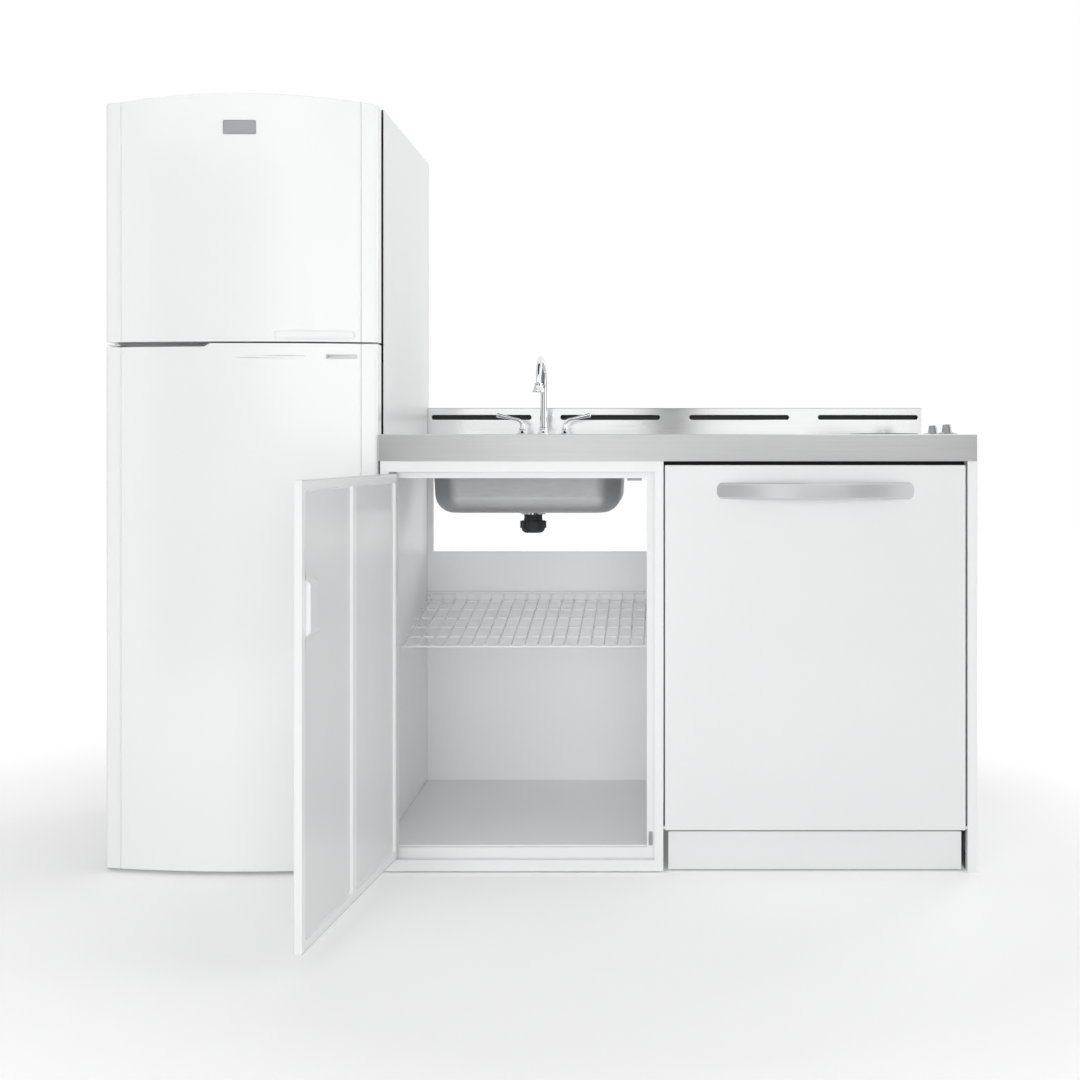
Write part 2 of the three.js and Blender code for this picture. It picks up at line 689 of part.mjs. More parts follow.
// The strainer body clamps the bowl's bottom; the basket stands in it.
function drainFittings() {
  const top = sinkBottom + DRAIN_FLANGE_THICKNESS;
  const wall = 1.5;
  const lip = 2;
  const bodyBottom = sinkBottom - SINK_SHEET - DRAIN_BODY_DROP;
  const wellRadius = DRAIN_BODY_RADIUS - wall;
  const flange = turned(drain.x, drain.y, [
    [TAIL_RADIUS - lip, bodyBottom],
    [DRAIN_BODY_RADIUS, bodyBottom],
    [DRAIN_BODY_RADIUS, sinkBottom],
    [DRAIN_FLANGE_RADIUS, sinkBottom],
    [DRAIN_FLANGE_RADIUS - 1, top],
    [wellRadius, top],
    [wellRadius, bodyBottom + lip],
    [TAIL_RADIUS - lip, bodyBottom + lip],
    [TAIL_RADIUS - lip, bodyBottom],
  ]);
  const basketRadius = wellRadius - FIT - 1;
  const basketFloor = top - BASKET_DEPTH;
  const bowl = turned(drain.x, drain.y, [
    [0, basketFloor],
    [basketRadius - 3, basketFloor],
    [basketRadius, top + TOUCH],
    [wellRadius + 4, top + TOUCH],
    [wellRadius + 4, top + TOUCH + 1],
    [basketRadius - 1.2, top + TOUCH + 1],
    [basketRadius - 4, basketFloor + 1.2],
    [4, basketFloor + 1.2],
    [6, top + 6],
    [4.5, top + 9],
    [0, top + 9],
  ], 16);
  const holes = [];
  for (let i = 0; i < BASKET_HOLES; i++) {
    const angle = (2 * Math.PI * i) / BASKET_HOLES;
    const x = drain.x + BASKET_HOLE_RING * Math.cos(angle);
    const y = drain.y + BASKET_HOLE_RING * Math.sin(angle);
    holes.push(rod([x, y, basketFloor - 2], [x, y, basketFloor + 3], BASKET_HOLE_RADIUS, 6));
  }
  const tailTop = bodyBottom - TOUCH;
  const tailBottom = tailTop - TAIL_DROP;
  const tailBore = TAIL_RADIUS - TAIL_WALL;
  const tail = turned(drain.x, drain.y, [
    [tailBore, tailBottom],
    [TAIL_RADIUS, tailBottom],
    [TAIL_RADIUS, tailTop],
    [tailBore, tailTop],
    [tailBore, tailBottom],
  ]);
  const nutTop = tailBottom + NUT_OVER_TAIL;
  const nutBottom = nutTop - NUT_HEIGHT;
  const outlet = TAIL_RADIUS - 5;
  const nutShell = turned(drain.x, drain.y, [
    [outlet, nutBottom],
    [NUT_RADIUS - 7, nutBottom],
    [NUT_RADIUS - 1, nutBottom + 6],
    [NUT_RADIUS, nutBottom + 10],
    [NUT_RADIUS, nutTop],
    [TAIL_RADIUS + FIT, nutTop],
    [TAIL_RADIUS + FIT, tailBottom - TOUCH],
    [outlet, tailBottom - TOUCH],
    [outlet, nutBottom],
  ]);
  const wing = (side) => {
    const reach = [NUT_RADIUS - 2, NUT_RADIUS + NUT_WING].map((r) => drain.x + side * r);
    return block(
      reach.sort((a, b) => a - b),
      grow([drain.y, drain.y], NUT_WING_THICKNESS / 2),
      [nutBottom + 10, nutTop - 1],
    );
  };
  return [
    piece("drain_flange", flange, chrome),
    piece("strainer_basket", cut(bowl, ...holes), chrome),
    piece("drain_tailpiece", tail, drainBlack),
    piece("drain_nut", join(nutShell, wing(-1), wing(1)), drainBlack),
  ];
}

// ---------- faucet ----------

const spoutSocket = 14;

function spoutBase() {
  const z = WORKTOP_HEIGHT;
  const socket = SPOUT_RADIUS + FIT - 1.5;
  const top = z + BASE_HEIGHT;
  return piece(
    "spout_base",
    turned(faucetX, FAUCET_DEPTH, [
      [0, z - SHANK_LENGTH],
      [SHANK_RADIUS, z - SHANK_LENGTH],
      [SHANK_RADIUS, z],
      [BASE_RADIUS, z],
      [BASE_RADIUS, z + 2],
      [BASE_RADIUS - 2, z + 5],
      [SPOUT_RADIUS + 2.5, z + 10],
      [SPOUT_RADIUS + 1.5, top - 3],
      [SPOUT_RADIUS + 2, top - 1],
      [SPOUT_RADIUS + 1, top],
      [socket, top],
      [socket, top - spoutSocket],
      [0, top - spoutSocket],
    ]),
    chrome,
  );
}

// A column that bends over forward in a half circle; its foot turns in the base's socket.
function spout() {
  const foot = WORKTOP_HEIGHT + BASE_HEIGHT - spoutSocket + TOUCH;
  const bendZ = WORKTOP_HEIGHT + SPOUT_BEND_HEIGHT;
  const shoulder = WORKTOP_HEIGHT + BASE_HEIGHT + TOUCH;
  const at = (y, z) => new THREE.Vector3(faucetX, y, z);
  const points = [at(FAUCET_DEPTH, shoulder + 1)];
  const straightSteps = 4;
  for (let i = 1; i < straightSteps; i++) {
    points.push(at(FAUCET_DEPTH, shoulder + 1 + ((bendZ - shoulder - 1) * i) / straightSteps));
  }
  const bendSteps = 12;
  for (let i = 0; i <= bendSteps; i++) {
    const angle = (Math.PI * i) / bendSteps;
    const y = FAUCET_DEPTH - SPOUT_BEND + SPOUT_BEND * Math.cos(angle);
    points.push(at(y, bendZ + SPOUT_BEND * Math.sin(angle)));
  }
  points.push(at(FAUCET_DEPTH - 2 * SPOUT_BEND, bendZ - SPOUT_TIP_LENGTH));
  const route = new THREE.CatmullRomCurve3(points, false, "centripetal");
  const radiusAt = (t) => SPOUT_RADIUS + (SPOUT_TIP_RADIUS - SPOUT_RADIUS) * t;
  const tube = sweep(route, radiusAt, 24, 10);
  const stem = turned(faucetX, FAUCET_DEPTH, [
    [0, foot],
    [SPOUT_RADIUS - 1.5, foot],
    [SPOUT_RADIUS - 1.5, shoulder],
    [SPOUT_RADIUS, shoulder],
    [SPOUT_RADIUS, shoulder + 3],
    [0, shoulder + 3],
  ], 10);
  return piece("faucet_spout", join(tube, stem), chrome);
}

// The bell-shaped outlet that screws on the spout's end.
function aerator() {
  const y = FAUCET_DEPTH - 2 * SPOUT_BEND;
  const seat = WORKTOP_HEIGHT + SPOUT_BEND_HEIGHT - SPOUT_TIP_LENGTH - TOUCH;
  const bottom = seat - 6;
  const top = bottom + AERATOR_HEIGHT;
  const bore = SPOUT_TIP_RADIUS + 2 * FIT;
  return piece(
    "aerator",
    turned(faucetX, y, [
      [0, bottom + 2],
      [AERATOR_RADIUS - 3, bottom + 2],
      [AERATOR_RADIUS - 3, bottom],
      [AERATOR_RADIUS, bottom],
      [AERATOR_RADIUS, bottom + 3],
      [AERATOR_RADIUS - 3, bottom + 11],
      [bore + 2.4, top],
      [bore + 1.2, top],
      [bore, seat + 5],
      [bore, seat],
      [0, seat],
    ], 16),
    chrome,
  );
}

function valveBody(side) {
  const z = WORKTOP_HEIGHT;
  return piece(
    `${side}_valve_body`,
    turned(valveX[side], FAUCET_DEPTH, [
      [0, z - SHANK_LENGTH],
      [SHANK_RADIUS, z - SHANK_LENGTH],
      [SHANK_RADIUS, z],
      [VALVE_BASE_RADIUS, z],
      [VALVE_BASE_RADIUS, z + 3],
      [VALVE_BASE_RADIUS - 4, z + 7],
      [LEVER_STEM_RADIUS + 2, z + 9],
      [LEVER_STEM_RADIUS + 1, z + VALVE_HEIGHT],
      [0, z + VALVE_HEIGHT],
    ]),
    chrome,
  );
}

// A stem that rises from the valve and swings outward into a long tapering grip with a full tip.
function lever(side) {
  const outward = side === "left" ? -1 : 1;
  const foot = WORKTOP_HEIGHT + VALVE_HEIGHT + TOUCH;
  const grip = WORKTOP_HEIGHT + LEVER_HEIGHT;
  const at = (reach, z) => new THREE.Vector3(valveX[side] + outward * reach, FAUCET_DEPTH, z);
  const path = new THREE.CatmullRomCurve3([
    at(0, foot),
    at(0, foot + 9),
    at(2, foot + 17),
    at(9, grip - 12),
    at(20, grip - 9),
    at(LEVER_REACH * 0.65, grip - 4),
    at(LEVER_REACH, grip),
  ]);
  const radiusAt = (t) => {
    if (t < 0.3) return THREE.MathUtils.lerp(LEVER_STEM_RADIUS, LEVER_NECK_RADIUS, t / 0.3);
    if (t < 0.9) return THREE.MathUtils.lerp(LEVER_NECK_RADIUS, LEVER_TIP_RADIUS, (t - 0.3) / 0.6);
    return LEVER_TIP_RADIUS * Math.sqrt(Math.max(0.1, 1 - ((t - 0.9) / 0.1) ** 2));
  };
  return piece(`${side}_lever`, sweep(path, radiusAt, 18, 10), chrome);
}

// ---------- hob ----------

const elementCentreZ = WORKTOP_HEIGHT + ELEMENT_TOP - ELEMENT_TUBE;
const supportTop = elementCentreZ - ELEMENT_TUBE - TOUCH;
const ledgeZ = WORKTOP_HEIGHT - PAN_LEDGE_DROP;

// A shallow round pan that hangs by its rim, with a ledge for the element support.
function dripPan(position) {
  const y = BURNER_DEPTHS[position];
  const throat = BURNER_HOLE_RADIUS - 1;
  const floor = WORKTOP_HEIGHT - PAN_DEPTH;
  const t = PAN_SHEET;
  const pan = turned(burnerX, y, [
    [PAN_CENTRE_HOLE, floor - t],
    [PAN_LEDGE_RADIUS - 10, ledgeZ - 6 - t],
    [PAN_LEDGE_RADIUS, ledgeZ - t],
    [throat, ledgeZ - t],
    [throat, WORKTOP_HEIGHT],
    [PAN_RIM_RADIUS, WORKTOP_HEIGHT],
    [PAN_RIM_RADIUS, WORKTOP_HEIGHT + t],
    [throat - t, WORKTOP_HEIGHT + t],
    [throat - t, ledgeZ],
    [PAN_LEDGE_RADIUS, ledgeZ],
    [PAN_LEDGE_RADIUS - 10, ledgeZ - 6],
    [PAN_CENTRE_HOLE, floor],
    [PAN_CENTRE_HOLE, floor - t],
  ], 28);
  const half = ELEMENT_LEAD_SPREAD + ELEMENT_TUBE + 3;
  const notch = block(
    [burnerX - PAN_RIM_RADIUS - 2, burnerX - PAN_LEDGE_RADIUS + 14],
    [y - half, y + half],
    [ledgeZ - 12, WORKTOP_HEIGHT - 1.2],
  );
  return piece(`${position}_drip_pan`, cut(pan, notch), chrome);
}

// Three upright blades round a hub; they rest on the pan's ledge and carry the element.
function elementSupport(position) {
  const y = BURNER_DEPTHS[position];
  const foot = ledgeZ + TOUCH;
  const hubRadius = 11;
  const reach = BURNER_HOLE_RADIUS - 1 - PAN_SHEET - 3;
  const hub = turned(burnerX, y, [
    [hubRadius - 2, supportTop - SUPPORT_BLADE_HEIGHT],
    [hubRadius, supportTop - SUPPORT_BLADE_HEIGHT],
    [hubRadius, supportTop],
    [hubRadius - 2, supportTop],
    [hubRadius - 2, supportTop - SUPPORT_BLADE_HEIGHT],
  ], 12);
  const blades = SUPPORT_ANGLES.map((angle) => {
    const blade = block(
      [hubRadius - 1, reach],
      [-SUPPORT_BLADE / 2, SUPPORT_BLADE / 2],
      [foot, supportTop],
    );
    return blade.rotateZ(THREE.MathUtils.degToRad(angle)).translate(burnerX, y, 0);
  });
  return piece(`${position}_element_support`, join(hub, ...blades), chrome);
}

// The element's centre line: in along one lead, round a flat spiral, then out again below it.
function elementRoute(y) {
  const outerRadius = ELEMENT_INNER_RADIUS + Math.ceil(ELEMENT_LOOPS) * ELEMENT_PITCH;
  const leadZ = elementCentreZ - ELEMENT_LEAD_DROP;
  const leadEnd = PAN_RIM_RADIUS + 6;
  const leadIn = ELEMENT_LEAD_SPREAD;
  const at = (x, offset, z) => new THREE.Vector3(burnerX + x, y + offset, z);
  const points = [
    at(-leadEnd, leadIn, leadZ),
    at(-leadEnd + 2 * ELEMENT_TUBE, leadIn, leadZ),
    at(-outerRadius - 9, leadIn, leadZ + 1),
    at(-outerRadius + 1, leadIn + 6, elementCentreZ - 3),
  ];
  const firstTurn = 0.07;
  const count = Math.round((ELEMENT_LOOPS - firstTurn) * ELEMENT_STEPS);
  for (let i = 0; i <= count; i++) {
    const turn = firstTurn + ((ELEMENT_LOOPS - firstTurn) * i) / count;
    const radius = outerRadius - turn * ELEMENT_PITCH;
    const angle = Math.PI - 2 * Math.PI * turn;
    points.push(at(radius * Math.cos(angle), radius * Math.sin(angle), elementCentreZ));
  }
  const innerRadius = outerRadius - ELEMENT_LOOPS * ELEMENT_PITCH;
  points.push(
    at(-7, -innerRadius + 0.5, elementCentreZ - 0.5),
    at(-18, -innerRadius + 4.5, elementCentreZ - ELEMENT_LEAD_DROP * 0.6),
    at(-28, -ELEMENT_LEAD_SPREAD - 5, leadZ + 0.3),
    at(-38, -ELEMENT_LEAD_SPREAD, leadZ),
    at(-leadEnd + 2 * ELEMENT_TUBE, -ELEMENT_LEAD_SPREAD, leadZ),
    at(-leadEnd, -ELEMENT_LEAD_SPREAD, leadZ),
  );
  return new THREE.CatmullRomCurve3(points, false, "centripetal");
}

// The least clear gap between stretches of a tube that lie more than three diameters apart along it.
function leastGap(curve, radius, samples = 600) {
  const points = curve.getSpacedPoints(samples);
  const step = curve.getLength() / samples;
  const apart = Math.ceil((6 * radius) / step);
  let least = Infinity;
  for (let i = 0; i < points.length; i++) {
    for (let j = i + apart; j < points.length; j++) {
      least = Math.min(least, points[i].distanceTo(points[j]) - 2 * radius);
    }
  }
  return least;
}

function coilElement(position) {
  const route = elementRoute(BURNER_DEPTHS[position]);
  const gap = leastGap(route, ELEMENT_TUBE);
  console.log(`${position} element: least gap to itself ${gap.toFixed(2)} mm`);
  const steps = ELEMENT_LOOPS * ELEMENT_STEPS + 26;
  const tube = sweep(route, () => ELEMENT_TUBE, steps, 6);
  return piece(`${position}_coil_element`, tube, elementBlack);
}

function burnerBox() {
  const half = BURNER_BOX_WIDTH / 2;
  const spans = [
    [burnerX - half, burnerX + half],
    [BURNER_BOX_FRONT, BURNER_BOX_BACK],
    [underside - BURNER_BOX_DEPTH, underside],
  ];
  return piece("burner_box", foldedBox(spans, CABINET_SHEET, "+z"), galvanised);
}

// The control hangs under the worktop; its shaft comes up through the top into the knob.
function hobSwitch(position) {
  const y = KNOB_DEPTHS[position];
  const half = SWITCH_SIZE / 2;
  const body = block(
    [knobX - half, knobX + half - 6],
    [y - half, y + half],
    [underside - SWITCH_HEIGHT, underside],
  );
  const shaft = rod(
    [knobX, y, underside - 2],
    [knobX, y, WORKTOP_HEIGHT + SHAFT_HEIGHT],
    SHAFT_RADIUS,
  );
  return piece(`${position}_switch`, join(body, shaft), drainBlack);
}

function knob(position) {
  const y = KNOB_DEPTHS[position];
  const foot = WORKTOP_HEIGHT + TOUCH;
  const top = WORKTOP_HEIGHT + KNOB_HEIGHT;
  const dome = turned(knobX, y, [
    [0, foot],
    [KNOB_RADIUS, foot],
    [KNOB_RADIUS - 1, foot + 1.5],
    [KNOB_RADIUS * 0.75, foot + 3.8],
    [KNOB_RADIUS * 0.45, foot + KNOB_DOME],
    [0, foot + KNOB_DOME],
  ]);
  const half = KNOB_GRIP_WIDTH / 2;
  const section = outline([
    [knobX - half, foot + 1],
    [knobX + half, foot + 1],
    [knobX + half, top - 3],
    [knobX + half - 3, top],
    [knobX + half - 6, top],
    [knobX - half, top - 8],
  ]);
  const reach = KNOB_GRIP_LENGTH / 2;
  const bar = shared(
    frontPlate(section, [y - reach, y + reach]),
    rod([knobX, y, foot - 1], [knobX, y, top + 1], reach, 24),
  );
  const bore = rod(
    [knobX, y, foot - 1],
    [knobX, y, WORKTOP_HEIGHT + SHAFT_HEIGHT + TOUCH],
    SHAFT_RADIUS + FIT,
  );
  return piece(`${position}_knob`, cut(join(dome, bar), bore), greyKnob);
}

// ---------- wire shelf ----------

// Square-drawn wires welded crosswise, sloping up to the back, where the long ones turn up. Two cross
// wires reach into the side walls' holes and carry the shelf.
function wireShelf() {
  const square = SHELF_WIRE * 0.4;
  const x = [leftWallInside + SHELF_SIDE_GAP, dividerInside - SHELF_SIDE_GAP];
  const cross = (spanX, y, z) => block(spanX, grow([y, y], square), grow([z, z], square));
  const wires = [];
  for (let i = 0; i < SHELF_CROSS_WIRES; i++) {
    const y = SHELF_FRONT + i * SHELF_CROSS_PITCH;
    const carries = shelfCarryingDepths.includes(y);
    const ends = carries ? grow([CABINET_LEFT, CABINET_WIDTH], -SHELF_END_GAP) : x;
    wires.push(cross(ends, y, shelfZ(y)));
  }
  const topZ = shelfZ(shelfBack) + SHELF_LIP;
  wires.push(cross(x, shelfBack + 2 * square, topZ));
  const long = square * 0.9;
  const slope = Math.atan2(SHELF_RISE, shelfBack - SHELF_FRONT);
  const run = (shelfBack + 2.2 * square - SHELF_FRONT) / Math.cos(slope);
  const rear = [shelfBack + 1.2 * square, shelfBack + 1.2 * square + 2 * long];
  const wireX = grow(x, -SHELF_LONG_WIRE_INSET);
  for (let i = 0; i < SHELF_LONG_WIRES; i++) {
    const middle = wireX[0] + ((wireX[1] - wireX[0]) * i) / (SHELF_LONG_WIRES - 1);
    const across = grow([middle, middle], long);
    const lying = block(across, [-long, run], [-long, long]).rotateX(slope);
    wires.push(lying.translate(0, SHELF_FRONT, SHELF_HEIGHT + square));
    wires.push(block(across, rear, [shelfZ(shelfBack), topZ + long]));
  }
  return piece("wire_shelf", join(...wires), whiteEnamel);
}

// ---------- cabinet door, drawn closed, with its left front corner at the group's origin ----------

const doorWidth = recessX[1] - recessX[0] - 2 * DOOR_SIDE_GAP;
const doorZ = grow(recessZ, -DOOR_END_GAP);
const cupCentreX = doorWidth - CUP_FROM_EDGE;
const cupX = grow([cupCentreX, cupCentreX], CUP_WIDTH / 2);

// The cup in side view: sloping ends down to a flat floor.
function cupBlock(spanX, growth, mouth) {
  const z = CUP_HEIGHT_ABOVE_FLOOR;
  const slope = (CUP_LENGTH - CUP_FLOOR_LENGTH) / 2 / CUP_DEPTH;
  const half = CUP_FLOOR_LENGTH / 2 + growth;
  const floor = CUP_DEPTH + growth;
  const mouthHalf = half + slope * (floor - mouth);
  const shape = outline([
    [mouth, z - mouthHalf],
    [floor, z - half],
    [floor, z + half],
    [mouth, z + mouthHalf],
  ]);
  return sidePlate(shape, grow(spanX, growth));
}

function doorOuterSkin() {
  const spans = [[0, doorWidth], [0, DOOR_THICKNESS], doorZ];
  const skin = foldedBox(spans, CABINET_SHEET, "+y");
  const pinHole = (z) =>
    rod(
      [DOOR_PIN_INSET, DOOR_PIN_INSET, z - DOOR_PIN_LENGTH],
      [DOOR_PIN_INSET, DOOR_PIN_INSET, z + DOOR_PIN_LENGTH],
      DOOR_PIN_RADIUS + FIT,
    );
  const bush = (z0, z1) => block([0, 7], [0, 7], [z0, z1]);
  const boss = DOOR_PIN_LENGTH + 3;
  const body = join(skin, bush(doorZ[0], doorZ[0] + boss), bush(doorZ[1] - boss, doorZ[1]));
  const cup = cupBlock(cupX, FIT, -1);
  return piece("door_outer_skin", cut(body, cup, pinHole(doorZ[0]), pinHole(doorZ[1])), whitePaint);
}

// A pan pressed with two shallow fields and a rib between them, open towards the outer skin.
function doorInnerPan() {
  const x = grow([0, doorWidth], -CABINET_SHEET - FIT);
  const z = grow(doorZ, -CABINET_SHEET - FIT);
  const back = DOOR_THICKNESS;
  const field = back - DOOR_PANEL_RECESS;
  const front = field - 3;
  const rim = DOOR_RIM;
  const middle = doorWidth / 2;
  const fields = [
    [x[0] + rim, middle - DOOR_RIB_WIDTH / 2],
    [middle + DOOR_RIB_WIDTH / 2, x[1] - rim],
  ];
  const fieldZ = grow(z, -rim);
  const pockets = (growth, y) =>
    fields.map((spanX) => block(grow(spanX, growth), y, grow(fieldZ, growth)));
  const stamped = cut(block(x, [front, back], z), ...pockets(0, [field, back + 1]));
  const sheet = CABINET_SHEET;
  const core = cut(
    block(grow(x, -sheet), [front - 1, back - sheet], grow(z, -sheet)),
    ...pockets(sheet, [field - sheet, back + 1]),
  );
  const corner = block([0, 9], [0, DOOR_THICKNESS + 1], doorZ);
  return piece(
    "door_inner_pan",
    cut(stamped, core, corner, cupBlock(cupX, FIT, -1)),
    whitePaint,
  );
}

function doorPullCup() {
  const sheet = CABINET_SHEET;
  const half = CUP_LENGTH / 2 + CUP_FLANGE;
  const z = [CUP_HEIGHT_ABOVE_FLOOR - half, CUP_HEIGHT_ABOVE_FLOOR + half];
  const flange = block(grow(cupX, CUP_FLANGE), [-1, 0], z);
  const cup = join(flange, cupBlock(cupX, 0, 0));
  return piece("door_pull_cup", cut(cup, cupBlock(cupX, -sheet, -2)), whitePaint);
}

function cabinetDoor() {
  const door = new THREE.Group();
  const pin = new THREE.Vector3(
    recessX[0] + DOOR_SIDE_GAP + DOOR_PIN_INSET,
    FACE_SETBACK + DOOR_PIN_INSET,
    0,
  );
  const leaf = new THREE.Group();
  leaf.position.set(-DOOR_PIN_INSET, -DOOR_PIN_INSET, 0);
  leaf.add(doorOuterSkin(), doorInnerPan(), doorPullCup());
  door.add(leaf);
  door.position.copy(pin);
  door.rotation.z = THREE.MathUtils.degToRad(-DOOR_REST_ANGLE);
  return door;
}

// A strap on the ring behind the door, with a plate and pin over the door's end.
function doorHinge(name, end) {
  const up = end === "top" ? 1 : -1;
  const edge = end === "top" ? recessZ[1] : recessZ[0];
  const door = end === "top" ? doorZ[1] : doorZ[0];
  const span = (a, b) => [Math.min(a, b), Math.max(a, b)];
  const x = recessX[0] + DOOR_SIDE_GAP + DOOR_PIN_INSET;
  const y = FACE_SETBACK + DOOR_PIN_INSET;
  const plate = block(
    [recessX[0], recessX[0] + HINGE_STRAP_WIDTH],
    [FACE_SETBACK + 0.5, recessBack],
    span(edge, edge - up * HINGE_PLATE),
  );
  const strap = block(
    [recessX[0], recessX[0] + HINGE_STRAP_WIDTH],
    [recessBack - HINGE_PLATE, recessBack],
    span(edge, edge - up * HINGE_STRAP_HEIGHT),
  );
  const tip = door - up * (DOOR_PIN_LENGTH - 1);
  const pin = rod([x, y, edge - up], [x, y, tip], DOOR_PIN_RADIUS);
  return piece(name, join(plate, strap, pin), galvanised);
}

// ---------- dishwasher ----------

const bayX = [CABINET_WIDTH, endPanelLeft];
const dishDoorX = [bayX[0] + DISH_DOOR_LEFT_GAP, bayX[1] - DISH_DOOR_RIGHT_GAP];
const dishDoorZ = [DISH_DOOR_BOTTOM, dishDoorTop];
const dishDoorBack = FACE_SETBACK + DISH_DOOR_THICKNESS;
const tubX = grow(bayX, -TUB_SIDE_GAP);
const bayCentre = (bayX[0] + bayX[1]) / 2;

// The pins that the dishwasher's door turns on, along one line across its bottom corners.
function dishPivot(growth) {
  const y = FACE_SETBACK + DISH_PIVOT_INSET;
  const z = DISH_DOOR_BOTTOM + DISH_PIVOT_INSET;
  const ends = grow(bayX, DISH_PIVOT_REACH + growth);
  return rod([ends[0], y, z], [ends[1], y, z], DISH_PIVOT_RADIUS + growth);
}

function dishDoorPanel() {
  const spans = [dishDoorX, [FACE_SETBACK, dishDoorBack], dishDoorZ];
  const pins = cut(dishPivot(0), block(grow(dishDoorX, -10), [-10, 30], grow(dishDoorZ, 10)));
  return piece("dishwasher_door_panel", join(foldedBox(spans, DISH_SHEET, "+y"), pins), whitePaint);
}

function dishDoorLiner() {
  const back = dishDoorBack + DISH_LINER_DEPTH;
  const cover = block(
    grow(dishDoorX, -DISH_SHEET - FIT),
    [dishDoorBack - 2, dishDoorBack],
    grow(dishDoorZ, -DISH_SHEET - FIT),
  );
  const innerX = grow(tubX, -DISH_LINER_INSET);
  const innerZ = [TUB_BOTTOM + DISH_LINER_INSET, tubTop - DISH_LINER_INSET];
  const raised = block(innerX, [dishDoorBack - 2, back], innerZ);
  const sheet = DISH_SHEET;
  const hollow = block(grow(innerX, -sheet), [dishDoorBack - 3, back - sheet], grow(innerZ, -sheet));
  return piece("dishwasher_door_liner", cut(join(cover, raised), hollow), brushedSteel);
}

// A bar bowed out from the door, standing on two feet.
function dishHandle() {
  const half = BAR_LENGTH / 2;
  const steps = 16;
  const front = FACE_SETBACK;
  const points = [];
  for (let i = 0; i <= steps; i++) {
    const u = -1 + (2 * i) / steps;
    points.push([bayCentre + half * u, front - BAR_BOW * (1 - u * u)]);
  }
  const inner = half - BAR_FOOT;
  for (let i = steps; i >= 0; i--) {
    const u = -1 + (2 * i) / steps;
    points.push([bayCentre + inner * u, front - (BAR_BOW - BAR_THICKNESS) * (1 - u * u)]);
  }
  const centreZ = dishDoorTop - BAR_BELOW_DOOR_TOP;
  const z = grow([centreZ, centreZ], BAR_HEIGHT / 2);
  return piece("dishwasher_handle", slab(outline(points), z), greyBar);
}

// The wash tub: a box open to the front, with rack rails down its sides, a post for the spray arm
// and a tab at each side that fastens it between the divider and the end panel.
function dishTub() {
  const shell = foldedBox([tubX, [TUB_FRONT, TUB_BACK], [TUB_BOTTOM, tubTop]], DISH_SHEET, "-y");
  const railZ = [TUB_BOTTOM + RACK_RAIL_HEIGHT - RACK_RAIL_SHEET, TUB_BOTTOM + RACK_RAIL_HEIGHT];
  const railY = [RACK_FRONT - RACK_RAIL_OVERRUN, RACK_BACK + RACK_RAIL_OVERRUN];
  const reach = DISH_SHEET + RACK_RAIL_SIZE;
  const rails = [
    block([tubX[0] + DISH_SHEET / 2, tubX[0] + reach], railY, railZ),
    block([tubX[1] - reach, tubX[1] - DISH_SHEET / 2], railY, railZ),
  ];
  const post = rod(
    [bayCentre, (RACK_FRONT + RACK_BACK) / 2, TUB_BOTTOM + DISH_SHEET / 2],
    [bayCentre, (RACK_FRONT + RACK_BACK) / 2, TUB_BOTTOM + DISH_SHEET + SPRAY_POST_HEIGHT],
    SPRAY_POST_RADIUS,
  );
  const tabY = [TUB_FRONT + TUB_TAB_WIDTH, TUB_FRONT + 2 * TUB_TAB_WIDTH];
  const tabZ = [tubTop - TUB_TAB_THICKNESS, tubTop];
  const tabs = [
    block([bayX[0] + TOUCH, tubX[0] + DISH_SHEET], tabY, tabZ),
    block([tubX[1] - DISH_SHEET, WORKTOP_WIDTH - CABINET_SHEET - TOUCH], tabY, tabZ),
  ];
  return piece("dishwasher_tub", join(shell, ...rails, ...tabs, post), brushedSteel);
}

function dishBase() {
  const spans = [grow(tubX, -2), [BASE_FRONT, TUB_BACK], [0, TUB_BOTTOM]];
  return piece("dishwasher_base", foldedBox(spans, CABINET_SHEET, "-z"), galvanised);
}

function kickPlate() {
  const x = grow(bayX, -KICK_SIDE_GAP + 1);
  const spans = [x, [KICK_FRONT, BASE_FRONT], [KICK_FOOT_GAP, KICK_TOP]];
  return piece("kick_plate", foldedBox(spans, CABINET_SHEET, "+y"), whitePaint);
}

